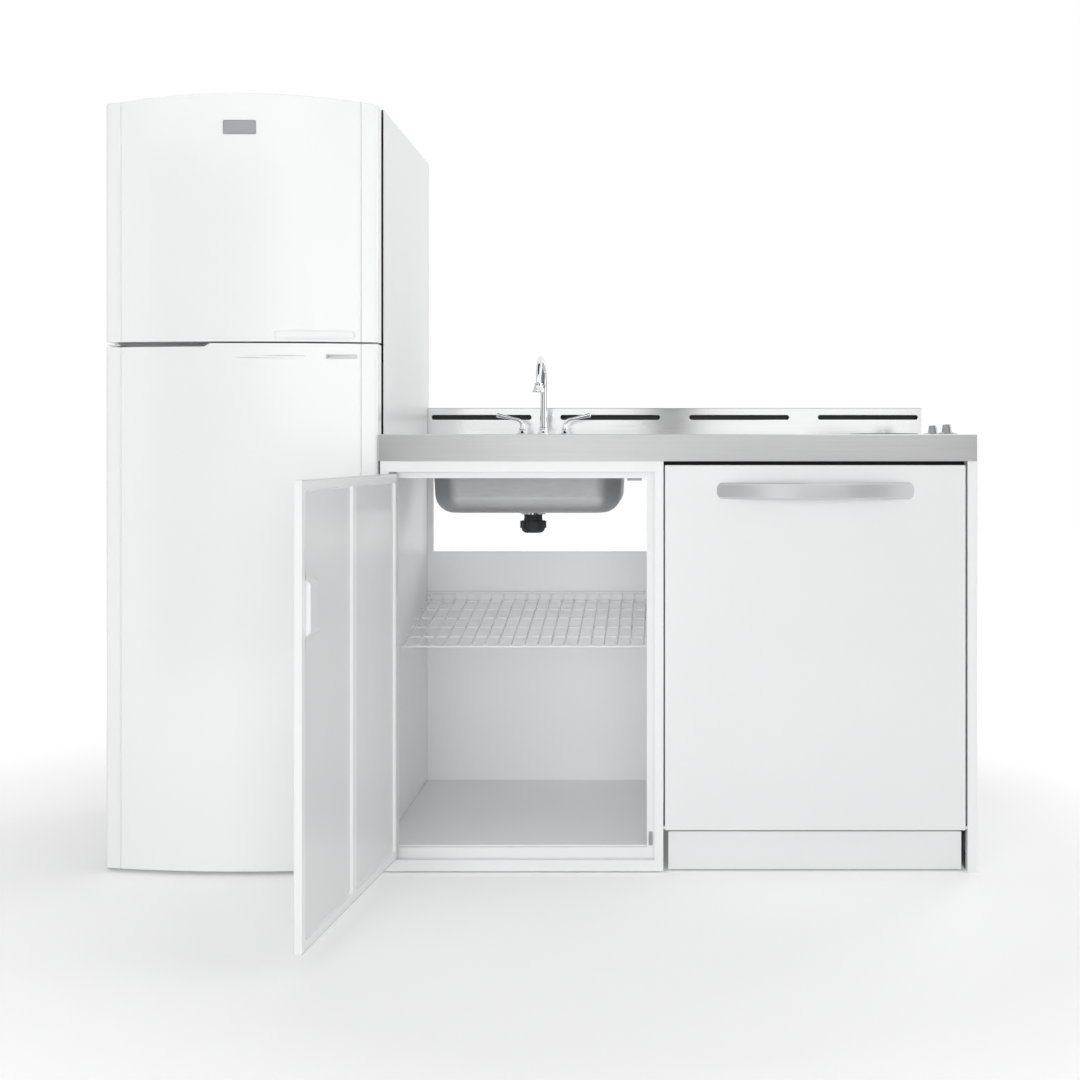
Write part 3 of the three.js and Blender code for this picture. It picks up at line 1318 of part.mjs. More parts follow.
// The lower rack: a wire basket whose side runners rest on the tub's rails.
function lowerRack() {
  const half = RACK_WIRE / 2;
  const inside = DISH_SHEET + RACK_RAIL_SIZE;
  const x = grow(tubX, -(inside + half + RACK_SIDE_GAP));
  const y = [RACK_FRONT + half, RACK_BACK - half];
  const floor = TUB_BOTTOM + RACK_RAIL_HEIGHT + TOUCH + half;
  const top = floor + RACK_HEIGHT;
  const bar = (from, to, reach = half) =>
    block(
      ...[0, 1, 2].map((axis) => [
        Math.min(from[axis], to[axis]) - reach,
        Math.max(from[axis], to[axis]) + reach,
      ]),
    );
  const wires = [];
  for (const z of [floor, top]) {
    wires.push(bar([x[0], y[0], z], [x[1], y[0], z]), bar([x[0], y[1], z], [x[1], y[1], z]));
    wires.push(bar([x[0], y[0], z], [x[0], y[1], z]), bar([x[1], y[0], z], [x[1], y[1], z]));
  }
  for (let i = 1; i < RACK_LONG_WIRES - 1; i++) {
    const wireX = x[0] + ((x[1] - x[0]) * i) / (RACK_LONG_WIRES - 1);
    wires.push(bar([wireX, y[0], floor], [wireX, y[1], floor], half * 0.9));
    wires.push(bar([wireX, y[0], floor], [wireX, y[0], top], half * 0.8));
    wires.push(bar([wireX, y[1], floor], [wireX, y[1], top], half * 0.8));
  }
  for (let i = 1; i < RACK_CROSS_WIRES - 1; i++) {
    const wireY = y[0] + ((y[1] - y[0]) * i) / (RACK_CROSS_WIRES - 1);
    wires.push(bar([x[0], wireY, floor], [x[1], wireY, floor], half * 0.8));
    wires.push(bar([x[0], wireY, floor], [x[0], wireY, top], half * 0.7));
    wires.push(bar([x[1], wireY, floor], [x[1], wireY, top], half * 0.7));
  }
  for (const cornerX of x) {
    for (const cornerY of y) {
      wires.push(bar([cornerX, cornerY, floor], [cornerX, cornerY, top], half * 0.9));
    }
  }
  const runnerReach = RACK_RAIL_SIZE - RACK_RUNNER_TO_TUB;
  const runnerZ = [floor - half, floor + half / 2];
  for (const runnerY of grow(y, -RACK_RUNNER_INSET)) {
    const runner = grow([runnerY, runnerY], RACK_RUNNER_LENGTH / 2);
    wires.push(
      block([x[0] - half - runnerReach, x[0]], runner, runnerZ),
      block([x[1], x[1] + half + runnerReach], runner, runnerZ),
    );
  }
  return piece("lower_rack", join(...wires), whitePlastic);
}

function sprayArm() {
  const y = (RACK_FRONT + RACK_BACK) / 2;
  const postTop = TUB_BOTTOM + DISH_SHEET + SPRAY_POST_HEIGHT;
  const z = [postTop - SPRAY_ARM_THICKNESS + 3, postTop + 3];
  const half = SPRAY_ARM_LENGTH / 2;
  const shape = new THREE.Shape();
  const tip = SPRAY_ARM_WIDTH / 2;
  shape.absarc(bayCentre + half - tip, y, tip, -Math.PI / 2, Math.PI / 2);
  shape.absarc(bayCentre - half + tip, y, tip, Math.PI / 2, (3 * Math.PI) / 2);
  const bore = rod(
    [bayCentre, y, z[0] - 9],
    [bayCentre, y, postTop + TOUCH],
    SPRAY_POST_RADIUS + 2 * FIT,
    20,
  );
  const hub = rod([bayCentre, y, z[0] - 6], [bayCentre, y, z[1]], SPRAY_POST_RADIUS + 5, 20);
  return piece("spray_arm", cut(join(slab(shape, z), hub), bore), sprayGrey);
}

// ---------- refrigerator-freezer ----------

const fridgeX = [-FRIDGE_WIDTH, -FRIDGE_SEAM];
const fridgeDoorX = [-FRIDGE_WIDTH + FRIDGE_DOOR_SIDE_GAP, -FRIDGE_DOOR_SIDE_GAP];
const bayFront = FRIDGE_BACK - BAY_DEPTH;
const linerX = grow(fridgeX, -LINER_WALL);
const linerBack = FRIDGE_BACK - LINER_BACK_GAP;
const stepFront = bayFront - LINER_WALL;
const stepTop = BAY_HEIGHT + LINER_WALL;
const compartments = {
  fridge: [FRIDGE_FLOOR + LINER_WALL, COMPARTMENT_SPLIT - SPLIT_WALL / 2],
  freezer: [COMPARTMENT_SPLIT + SPLIT_WALL / 2, FRIDGE_HEIGHT - LINER_WALL],
};
const linerFace = FRIDGE_FRONT - LINER_SHEET;

// The steel case: a box open to the front, stepped up at the back over the compressor bay, whose
// side sheets run down to foot flanges.
function fridgeCasing() {
  const t = FRIDGE_SHEET;
  const stepped = (front, inset) =>
    outline([
      [front, FRIDGE_FLOOR + inset],
      [bayFront - inset, FRIDGE_FLOOR + inset],
      [bayFront - inset, BAY_HEIGHT + inset],
      [FRIDGE_BACK - inset, BAY_HEIGHT + inset],
      [FRIDGE_BACK - inset, FRIDGE_HEIGHT - inset],
      [front, FRIDGE_HEIGHT - inset],
    ]);
  const shell = cut(
    sidePlate(stepped(FRIDGE_FRONT, 0), fridgeX),
    sidePlate(stepped(FRIDGE_FRONT - 1, t), grow(fridgeX, -t)),
  );
  const depth = [FRIDGE_FRONT, FRIDGE_BACK];
  const skirts = [
    block([fridgeX[0], fridgeX[0] + t], depth, [0, BAY_HEIGHT + 1]),
    block([fridgeX[1] - t, fridgeX[1]], depth, [0, BAY_HEIGHT + 1]),
    block([fridgeX[0], fridgeX[0] + FOOT_FLANGE], depth, [0, FOOT_FLANGE_THICKNESS]),
    block([fridgeX[1] - FOOT_FLANGE, fridgeX[1]], depth, [0, FOOT_FLANGE_THICKNESS]),
    block(fridgeX, [FRIDGE_FRONT, FRIDGE_FRONT + t], [FRIDGE_DOOR_BOTTOM, FRIDGE_FLOOR + 1]),
    block(fridgeX, [bayFront + 10, FRIDGE_BACK], [TRAY_HEIGHT - TRAY_THICKNESS, TRAY_HEIGHT]),
  ];
  return piece("fridge_casing", join(shell, ...skirts), whitePaint);
}

// One moulded liner with both compartments, a front flange over the case's edge, and shelf ledges.
function fridgeLiner() {
  const t = LINER_SHEET;
  const well = (front, growth, [z0, z1], step) => {
    const corners = step
      ? [[front, z0 - growth], [stepFront + growth, z0 - growth], [stepFront + growth, stepTop - growth],
         [linerBack + growth, stepTop - growth]]
      : [[front, z0 - growth], [linerBack + growth, z0 - growth]];
    const shape = outline([...corners, [linerBack + growth, z1 + growth], [front, z1 + growth]]);
    return sidePlate(shape, grow(linerX, growth));
  };
  const face = block(
    grow(fridgeX, -GASKET_INSET + 4),
    [linerFace, FRIDGE_FRONT],
    [FRIDGE_FLOOR + 2, FRIDGE_HEIGHT - 2],
  );
  const outer = join(
    face,
    well(linerFace, t, compartments.fridge, true),
    well(linerFace, t, compartments.freezer, false),
  );
  const hollow = cut(
    outer,
    well(linerFace - 1, 0, compartments.fridge, true),
    well(linerFace - 1, 0, compartments.freezer, false),
  );
  const ledgeZ0 = GLASS_SHELF_HEIGHT - 6;
  const ledgeY = [FRIDGE_FRONT + 40, linerBack];
  const ledges = [
    block([linerX[0] - t / 2, linerX[0] + SHELF_LEDGE], ledgeY, [ledgeZ0, GLASS_SHELF_HEIGHT]),
    block([linerX[1] - SHELF_LEDGE, linerX[1] + t / 2], ledgeY, [ledgeZ0, GLASS_SHELF_HEIGHT]),
  ];
  return piece("fridge_liner", join(hollow, ...ledges), whitePlastic);
}

function glassShelf() {
  const z = [GLASS_SHELF_HEIGHT, GLASS_SHELF_HEIGHT + GLASS_THICKNESS];
  const shelf = block(grow(linerX, -FIT), [FRIDGE_FRONT + 45, linerBack - 10], z);
  return piece("glass_shelf", shelf, shelfGlass);
}

function compressor() {
  const x = fridgeX[1] - COMPRESSOR_FROM_SIDE;
  const y = (bayFront + 10 + FRIDGE_BACK) / 2;
  const r = COMPRESSOR_RADIUS;
  const foot = TRAY_HEIGHT;
  const top = foot + COMPRESSOR_HEIGHT;
  return piece(
    "compressor",
    turned(x, y, [
      [0, foot],
      [r + 4, foot],
      [r + 4, foot + 4],
      [r - 6, foot + 10],
      [r, foot + 40],
      [r, foot + 90],
      [r - 12, top - 22],
      [r - 40, top - 3],
      [0, top],
    ]),
    compressorBlack,
  );
}

const doorCentre = (fridgeDoorX[0] + fridgeDoorX[1]) / 2;
const doorHalf = (fridgeDoorX[1] - fridgeDoorX[0]) / 2;
const bowAt = (x) => DOOR_EDGE_FRONT - BOW * (1 - ((x - doorCentre) / doorHalf) ** 2);

// Plan of both doors: a straight back and a bowed front with eased corners.
function doorPlan(inset, back) {
  const ease = DOOR_PLAN_EASE;
  const left = fridgeDoorX[0] + inset;
  const right = fridgeDoorX[1] - inset;
  const points = [[right, back], [left, back], [left, DOOR_EDGE_FRONT + ease + inset]];
  const steps = 18;
  for (let i = 0; i <= steps; i++) {
    const x = left + ease + ((right - left - 2 * ease) * i) / steps;
    points.push([x, bowAt(x) + inset]);
  }
  points.push([right, DOOR_EDGE_FRONT + ease + inset]);
  return outline(points);
}

function stripGrooves(spanZ) {
  const left = fridgeDoorX[0] + STRIP_WIDTH;
  const right = fridgeDoorX[1] - STRIP_WIDTH;
  return [
    block([left, left + GROOVE], [-2 * BOW, bowAt(left) + GROOVE_DEPTH], spanZ),
    block([right - GROOVE, right], [-2 * BOW, bowAt(right) + GROOVE_DEPTH], spanZ),
  ];
}

const fridgePin = [fridgeX[0] + FRIDGE_PIN_FROM_SIDE, FRIDGE_PIN_DEPTH];

function pinHole(z, towards) {
  const depth = FRIDGE_PIN_LENGTH + 4;
  return rod([...fridgePin, z - towards], [...fridgePin, z + towards * depth], FRIDGE_PIN_RADIUS + FIT);
}

// A block of the door's corner that is left solid round a hinge pin.
function pinBush([z0, z1]) {
  const reach = FRIDGE_PIN_RADIUS + 4;
  return block(
    [fridgePin[0] - reach, fridgePin[0] + reach],
    [fridgePin[1] - reach, fridgePin[1] + reach],
    [z0, z1],
  );
}

function archedFront(inset) {
  const left = fridgeDoorX[0] + inset;
  const right = fridgeDoorX[1] - inset;
  const points = [[left, FREEZER_DOOR_BOTTOM + inset], [right, FREEZER_DOOR_BOTTOM + inset]];
  const steps = 12;
  for (let i = 0; i <= steps; i++) {
    const x = right + ((left - right) * i) / steps;
    const arch = DOOR_ARCH * (1 - ((x - doorCentre) / doorHalf) ** 2);
    points.push([x, freezerDoorCorner + arch - inset]);
  }
  return outline(points);
}

function freezerDoorShell() {
  const z = [FREEZER_DOOR_BOTTOM, freezerDoorCorner + DOOR_ARCH];
  const tall = grow(z, 5);
  const outer = shared(
    slab(doorPlan(0, FRIDGE_DOOR_BACK), tall),
    frontPlate(archedFront(0), [-2 * BOW, FRIDGE_DOOR_BACK + 1]),
  );
  const scoopY = bowAt((SCOOP_LEFT + SCOOP_RIGHT) / 2) - SCOOP_RADIUS + SCOOP_DEPTH;
  const scoop = rod(
    [SCOOP_LEFT, scoopY, SCOOP_HEIGHT],
    [SCOOP_RIGHT, scoopY + 5, SCOOP_HEIGHT],
    SCOOP_RADIUS,
    20,
  );
  const inner = shared(
    slab(doorPlan(DOOR_SKIN, FRIDGE_DOOR_BACK + 1), tall),
    frontPlate(archedFront(DOOR_SKIN), [-2 * BOW, FRIDGE_DOOR_BACK + 2]),
  );
  const scoopShell = rod(
    [SCOOP_LEFT - DOOR_SKIN, scoopY, SCOOP_HEIGHT],
    [SCOOP_RIGHT + DOOR_SKIN, scoopY + 5, SCOOP_HEIGHT],
    SCOOP_RADIUS + DOOR_SKIN,
    20,
  );
  const cornerZ = freezerDoorCorner + 1.5;
  const bushes = [
    pinBush([z[0], z[0] + FRIDGE_PIN_LENGTH + 8]),
    pinBush([cornerZ - FRIDGE_PIN_LENGTH - 8, cornerZ - 0.5]),
  ];
  const core = cut(inner, scoopShell, ...bushes, ...grooveBacks(tall));
  const holes = [pinHole(z[0], 1), pinHole(cornerZ, -1)];
  const shell = cut(outer, core, scoop, ...stripGrooves(tall), ...holes);
  return piece("freezer_door_shell", shell, whitePaint);
}

// Room kept behind the grooves so that the skin stays whole there.
function grooveBacks(spanZ) {
  const left = fridgeDoorX[0] + STRIP_WIDTH;
  const right = fridgeDoorX[1] - STRIP_WIDTH;
  const t = DOOR_SKIN;
  return [
    block([left - t, left + GROOVE + t], [-2 * BOW, bowAt(left) + GROOVE_DEPTH + t], spanZ),
    block([right - GROOVE - t, right + t], [-2 * BOW, bowAt(right) + GROOVE_DEPTH + t], spanZ),
  ];
}

// The lower door's top edge is low over the hinge side and steps up over the grip.
function steppedFront(inset) {
  const left = fridgeDoorX[0] + inset;
  const right = fridgeDoorX[1] - inset;
  const stepX = left + LOW_TOP_WIDTH;
  return outline([
    [left, FRIDGE_DOOR_BOTTOM + inset],
    [right, FRIDGE_DOOR_BOTTOM + inset],
    [right, FRIDGE_DOOR_TOP - inset],
    [stepX + DOOR_TOP_STEP, FRIDGE_DOOR_TOP - inset],
    [stepX, fridgeDoorLowTop - inset],
    [left, fridgeDoorLowTop - inset],
  ]);
}

function fridgeDoorShell() {
  const z = [FRIDGE_DOOR_BOTTOM, FRIDGE_DOOR_TOP];
  const tall = grow(z, 5);
  const outer = shared(
    slab(doorPlan(0, FRIDGE_DOOR_BACK), tall),
    frontPlate(steppedFront(0), [-2 * BOW, FRIDGE_DOOR_BACK + 1]),
  );
  const slotLeft = GRIP_RIGHT - GRIP_SLOT_WIDTH;
  const t = DOOR_SKIN;
  const grip = (growth) => {
    const front = -2 * BOW;
    const height = grow([GRIP_BOTTOM, GRIP_TOP], growth);
    const floorY = bowAt((GRIP_LEFT + slotLeft) / 2) + GRIP_DEPTH + growth;
    const slotY = bowAt(GRIP_RIGHT) + GRIP_SLOT_DEPTH + growth;
    const groove = outline([
      [GRIP_LEFT - growth, front],
      [slotLeft + growth, front],
      [slotLeft + growth, bowAt(slotLeft) + GRIP_DEPTH + growth],
      [(GRIP_LEFT + slotLeft) / 2, floorY],
      [GRIP_LEFT - growth, bowAt(GRIP_LEFT) + growth + 1],
    ]);
    return [
      slab(groove, height),
      block(grow([slotLeft, GRIP_RIGHT], growth), [front, slotY], height),
    ];
  };
  const inner = shared(
    slab(doorPlan(t, FRIDGE_DOOR_BACK + 1), tall),
    frontPlate(steppedFront(t), [-2 * BOW, FRIDGE_DOOR_BACK + 2]),
  );
  const bushes = [
    pinBush([z[0], z[0] + FRIDGE_PIN_LENGTH + 8]),
    pinBush([fridgeDoorLowTop - FRIDGE_PIN_LENGTH - 8, fridgeDoorLowTop]),
  ];
  const core = cut(inner, ...grip(t), ...bushes, ...grooveBacks(tall));
  const shell = cut(
    outer,
    core,
    ...grip(0),
    ...stripGrooves(tall),
    pinHole(z[0], 1),
    pinHole(fridgeDoorLowTop, -1),
  );
  return piece("fridge_door_shell", shell, whitePaint);
}

// A moulded sheet that closes the door's back, with a raised dyke that reaches into the compartment.
function doorLiner(name, doorSpan, compartment) {
  const t = DOOR_LINER_SHEET;
  const back = FRIDGE_DOOR_BACK + t;
  const sheet = block(grow(fridgeDoorX, -1), [FRIDGE_DOOR_BACK, back], doorSpan);
  const dykeX = grow(fridgeX, -DOOR_DYKE_INSET);
  const dykeZ = grow(compartment, -(DOOR_DYKE_INSET - LINER_WALL));
  const dyke = block(dykeX, [FRIDGE_DOOR_BACK, back + DOOR_DYKE], dykeZ);
  const hollow = block(
    grow(dykeX, -DOOR_DYKE_WIDTH),
    [back, back + DOOR_DYKE + 1],
    grow(dykeZ, -DOOR_DYKE_WIDTH),
  );
  const under = cut(
    block(grow(dykeX, -t), [FRIDGE_DOOR_BACK - 1, back + DOOR_DYKE - t], grow(dykeZ, -t)),
    block(
      grow(dykeX, t - DOOR_DYKE_WIDTH),
      [FRIDGE_DOOR_BACK - 2, back + DOOR_DYKE],
      grow(dykeZ, t - DOOR_DYKE_WIDTH),
    ),
  );
  const ease = block(
    [fridgePin[0] - 40, fridgePin[0] - 8],
    [FRIDGE_DOOR_BACK - 1, back + 1],
    grow(doorSpan, 1),
  );
  return piece(name, cut(join(sheet, dyke), hollow, under, ease), whitePlastic);
}

// The soft seal between a door's liner and the liner's flange.
function doorGasket(name, compartment) {
  const y = [FRIDGE_DOOR_BACK + DOOR_LINER_SHEET, linerFace - TOUCH];
  const outerX = grow(fridgeX, -(LINER_WALL - GASKET_WIDTH - 4));
  const outerZ = grow(compartment, GASKET_WIDTH + 4);
  const ring = cut(
    block(outerX, y, outerZ),
    block(grow(outerX, -GASKET_WIDTH), grow(y, 1), grow(outerZ, -GASKET_WIDTH)),
  );
  return piece(name, ring, sealGrey);
}

// Hinge plates that stand out from the case, with a pin into each door's end.
function fridgeHinges() {
  const [x, y] = fridgePin;
  const plateX = [fridgeX[0] + BRACKET_INSET, fridgeX[0] + BRACKET_INSET + BRACKET_WIDTH];
  const front = y - BRACKET_REACH;
  const r = FRIDGE_PIN_RADIUS;
  const topPlate = [FRIDGE_HEIGHT, FRIDGE_HEIGHT + BRACKET_THICKNESS];
  const top = join(
    block(plateX, [front, FRIDGE_FRONT + TOP_BRACKET_LENGTH], topPlate),
    rod([x, y, topPlate[0] + 1], [x, y, freezerDoorCorner - FRIDGE_PIN_LENGTH], r),
  );
  const low = fridgeDoorLowTop;
  const middlePlate = [low + 3.5, low + 3.5 + BRACKET_THICKNESS];
  const middle = join(
    block(plateX, [front, linerFace], middlePlate),
    rod([x, y, low - FRIDGE_PIN_LENGTH], [x, y, FREEZER_DOOR_BOTTOM + FRIDGE_PIN_LENGTH], r),
  );
  const bottomPlate = [FRIDGE_DOOR_BOTTOM - BRACKET_THICKNESS - 1.5, FRIDGE_DOOR_BOTTOM - 1.5];
  const bottom = join(
    block(plateX, [front, FRIDGE_FRONT], bottomPlate),
    block(plateX, [FRIDGE_FRONT - BRACKET_THICKNESS, FRIDGE_FRONT], [bottomPlate[0], 26]),
    rod([x, y, bottomPlate[0] + 1], [x, y, FRIDGE_DOOR_BOTTOM + FRIDGE_PIN_LENGTH], r),
  );
  return [
    piece("fridge_top_hinge", top, whitePaint),
    piece("fridge_middle_hinge", middle, whitePaint),
    piece("fridge_bottom_hinge", bottom, galvanised),
  ];
}

// ---------- assembly ----------

const kitchenette = new THREE.Group();

kitchenette.add(
  sideWall("cabinet_left_side", [CABINET_LEFT, CABINET_LEFT + FLANGE], "+x"),
  sideWall("cabinet_divider", [CABINET_WIDTH - FLANGE, CABINET_WIDTH], "-x"),
  endPanel(),
  backPanel(),
  floorPan(),
  faceFrame(),
  ...catches(),
  doorHinge("door_top_hinge", "top"),
  doorHinge("door_bottom_hinge", "bottom"),
  cabinetDoor(),
  wireShelf(),
);

kitchenette.add(worktop(), backGuard(), sinkBowl(), ...drainFittings());
kitchenette.add(spoutBase(), spout(), aerator());
for (const side of ["left", "right"]) kitchenette.add(valveBody(side), lever(side));

kitchenette.add(burnerBox());
for (const position of ["front", "rear"]) {
  kitchenette.add(
    dripPan(position),
    elementSupport(position),
    coilElement(position),
    hobSwitch(position),
    knob(position),
  );
}

kitchenette.add(
  dishTub(),
  dishBase(),
  dishDoorPanel(),
  dishDoorLiner(),
  dishHandle(),
  kickPlate(),
  lowerRack(),
  sprayArm(),
);

kitchenette.add(
  fridgeCasing(),
  fridgeLiner(),
  glassShelf(),
  compressor(),
  freezerDoorShell(),
  fridgeDoorShell(),
  doorLiner("freezer_door_liner", [FREEZER_DOOR_BOTTOM + 2, freezerDoorCorner - 2], compartments.freezer),
  doorLiner("fridge_door_liner", [FRIDGE_DOOR_BOTTOM + 2, fridgeDoorLowTop - 2], compartments.fridge),
  doorGasket("freezer_gasket", compartments.freezer),
  doorGasket("fridge_gasket", compartments.fridge),
  ...fridgeHinges(),
);

// The origin is the middle of the floor under the whole product.
const bounds = new THREE.Box3().setFromObject(kitchenette);
const middle = bounds.getCenter(new THREE.Vector3());
kitchenette.position.set(-middle.x, -middle.y, -bounds.min.z);

export default kitchenette;
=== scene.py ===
"""Looks of a kitchenette: refrigerator-freezer, sink cabinet, steel worktop and dishwasher."""

import math
from contextlib import contextmanager

import bmesh
import bpy
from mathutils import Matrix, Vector


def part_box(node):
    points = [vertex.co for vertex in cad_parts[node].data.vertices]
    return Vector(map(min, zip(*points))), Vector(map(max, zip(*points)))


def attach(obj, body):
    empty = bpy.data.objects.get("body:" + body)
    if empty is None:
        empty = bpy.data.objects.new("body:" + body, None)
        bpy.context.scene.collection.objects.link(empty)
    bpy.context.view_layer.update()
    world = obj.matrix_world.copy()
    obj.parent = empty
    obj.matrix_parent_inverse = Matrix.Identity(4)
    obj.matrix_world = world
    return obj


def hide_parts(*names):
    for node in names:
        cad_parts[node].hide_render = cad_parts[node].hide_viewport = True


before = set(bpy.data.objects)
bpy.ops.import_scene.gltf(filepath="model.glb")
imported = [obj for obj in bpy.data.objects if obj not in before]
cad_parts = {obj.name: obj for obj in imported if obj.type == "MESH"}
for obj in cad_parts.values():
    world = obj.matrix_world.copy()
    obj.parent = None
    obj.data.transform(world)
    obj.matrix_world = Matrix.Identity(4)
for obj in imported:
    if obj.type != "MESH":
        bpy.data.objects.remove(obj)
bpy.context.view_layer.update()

# ----------------------------------------
# The camera stands square in front of the unit, with its eye about level with the worktop.
# The view is shifted instead of tilted, so that upright edges stay upright.
bpy.ops.object.camera_add(location=(0.243, -2.823, 0.870), rotation=(math.radians(90), 0, 0))
camera = bpy.context.object
camera.name = "camera"
camera.data.sensor_width = 36
camera.data.lens = 45.53
camera.data.shift_x = -0.111
camera.data.shift_y = -0.088
bpy.context.scene.camera = camera
bpy.context.scene.view_settings.view_transform = "Standard"


# ----------------------------------------
# The studio: an even white surround, broad soft lamps at the upper left, to the right, overhead,
# behind and in front, on a pale floor that keeps the unit's contact shadow. Seven dark flags stand
# round the unit, seen only in reflections, so that steel and chrome have something to show.
def add_node(tree, kind, inputs=None, **settings):
    """Adds a shader node; an input is given a value, or another node's socket to be joined to."""
    made = tree.nodes.new(kind)
    for key, value in settings.items():
        setattr(made, key, value)
    for key, value in (inputs or {}).items():
        if isinstance(value, bpy.types.NodeSocket):
            tree.links.new(value, made.inputs[key])
        else:
            made.inputs[key].default_value = value
    return made


def seen_directly(tree):
    """1 for rays that come from the camera, a reflection or a pane, and 0 for light on surfaces."""
    path = add_node(tree, "ShaderNodeLightPath").outputs
    seen = path["Is Camera Ray"]
    for kind in ("Is Glossy Ray", "Is Transmission Ray"):
        either = add_node(tree, "ShaderNodeMath", {0: seen, 1: path[kind]}, operation="MAXIMUM")
        seen = either.outputs[0]
    return seen


def new_material(name, **constants):
    """A material and its shader, which gets these constants; an underscore stands for a space."""
    material = bpy.data.materials.new(name)
    material.use_nodes = True
    shader = material.node_tree.nodes["Principled BSDF"]
    for label, value in constants.items():
        shader.inputs[label.replace("_", " ")].default_value = value
    return material, shader


studio = bpy.data.worlds.new("studio")
studio.use_nodes = True
bpy.context.scene.world = studio
studio.node_tree.nodes.clear()
cast_light, seen_light = (
    add_node(studio.node_tree, "ShaderNodeBackground", {"Color": (1, 1, 1, 1), "Strength": level})
    for level in (0.45, 1.0)
)
surround = add_node(
    studio.node_tree,
    "ShaderNodeMixShader",
    {0: seen_directly(studio.node_tree), 1: cast_light.outputs[0], 2: seen_light.outputs[0]},
)
add_node(studio.node_tree, "ShaderNodeOutputWorld", {"Surface": surround.outputs[0]})


def soft_lamp(name, spot, target, width, height, power):
    """A rectangular lamp of some watts, turned from its spot to a target."""
    turn = (Vector(target) - Vector(spot)).to_track_quat("-Z", "Y").to_euler()
    bpy.ops.object.light_add(type="AREA", location=spot, rotation=turn)
    lamp = bpy.context.object
    lamp.name = name
    lamp.data.shape = "RECTANGLE"
    lamp.data.size, lamp.data.size_y = width, height
    lamp.data.energy = power
    return lamp


soft_lamp("key_lamp", (-1.7, -3.4, 2.9), (0.0, 0.2, 0.7), 2.4, 1.8, 10)
soft_lamp("fill_lamp", (4.8, -0.5, 2.0), (-0.3, 0.3, 1.0), 2.2, 2.4, 30)
soft_lamp("overhead_lamp", (0.1, -0.4, 3.4), (0.1, 0.3, 0.6), 2.6, 1.6, 10)
soft_lamp("rear_lamp", (2.6, 2.9, 1.5), (-0.3, 0.4, 0.75), 1.6, 1.4, 34)
front_lamp = soft_lamp("front_lamp", (-0.2, -3.7, 0.8), (-0.1, 0.2, 0.5), 3.0, 2.0, 66)
front_lamp.visible_glossy = False

dark_cloth, _ = new_material("dark_cloth", Base_Color=(0.02, 0.02, 0.02, 1), Roughness=1.0)
for side, spot, tilt, turn, width, height in (
    ("left", (-1.5, -2.2, 1.0), 90, -30, 1.25, 1.9),
    ("low_left", (-0.72, -2.3, 0.5), 90, 0, 0.6, 0.75),
    ("middle", (0.3, -3.2, 1.0), 90, 0, 0.2, 1.9),
    ("low_right", (0.86, -2.3, 0.4), 90, 0, 0.9, 0.68),
    ("right", (2.1, -2.2, 1.0), 90, 35, 1.2, 1.9),
    ("rear", (2.7, 2.7, 1.0), 90, 135, 2.2, 2.2),
    ("overhead", (-0.1, -0.25, 2.5), 0, 0, 1.5, 1.5),
):
    bpy.ops.mesh.primitive_plane_add(
        size=1, location=spot, rotation=(math.radians(tilt), 0, math.radians(turn))
    )
    flag = bpy.context.object
    flag.name = f"{side}_flag"
    flag.scale = (width, height, 1)
    flag.data.materials.append(dark_cloth)
    flag.visible_camera = flag.visible_diffuse = False
    flag.visible_shadow = flag.visible_transmission = False

bpy.ops.mesh.primitive_plane_add(size=16, location=(0, 3, 0))
floor = bpy.context.object
floor.name = "floor"
floor_finish, floor_shader = new_material(
    "pale_floor",
    Base_Color=(0.9, 0.9, 0.9, 1),
    Roughness=0.9,
    Specular_IOR_Level=0.1,
    Emission_Color=(1, 1, 1, 1),
)
floor_tree = floor_finish.node_tree
floor_spot = add_node(floor_tree, "ShaderNodeTexCoord").outputs["Object"]
to_front = {0: floor_spot, 1: (0.2, -3.0, 0.0)}
distance = add_node(floor_tree, "ShaderNodeVectorMath", to_front, operation="DISTANCE")
rise = {"From Min": 0.9, "From Max": 2.6, "To Min": 0.16, "To Max": 0.62}
far_glow = add_node(
    floor_tree, "ShaderNodeMapRange", {"Value": distance.outputs["Value"], **rise}
)
seen_glow = {0: seen_directly(floor_tree), 1: far_glow.outputs["Result"]}
glow = add_node(floor_tree, "ShaderNodeMath", seen_glow, operation="MULTIPLY")
floor_tree.links.new(glow.outputs[0], floor_shader.inputs["Emission Strength"])
floor.data.materials.append(floor_finish)


# ----------------------------------------
# The refrigerator's case: one steel sheet folded round the sides and top, over skirts that stand on
# foot flanges, sprayed white and glossy. The plastic liner with both compartments hangs in it.
worktop_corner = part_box("worktop")[0]


def at(x, y, z):
    """Millimetres right of the worktop's left end, behind its front edge and above the floor."""
    return Vector((worktop_corner.x + x / 1000, worktop_corner.y + y / 1000, z / 1000))


def effect(name, grain):
    """A node group that gives a colour, a roughness and a height, and the group's two end nodes."""
    group = bpy.data.node_groups.new(name, "ShaderNodeTree")
    for label, kind in (
        ("Light", "Color"), ("Dark", "Color"), ("Gloss low", "Float"), ("Gloss high", "Float"),
        ("Grain", grain),
    ):
        group.interface.new_socket(label, in_out="INPUT", socket_type="NodeSocket" + kind)
    for label, kind in (("Colour", "Color"), ("Roughness", "Float"), ("Height", "Float")):
        group.interface.new_socket(label, in_out="OUTPUT", socket_type="NodeSocket" + kind)
    return group, group.nodes.new("NodeGroupInput"), group.nodes.new("NodeGroupOutput")


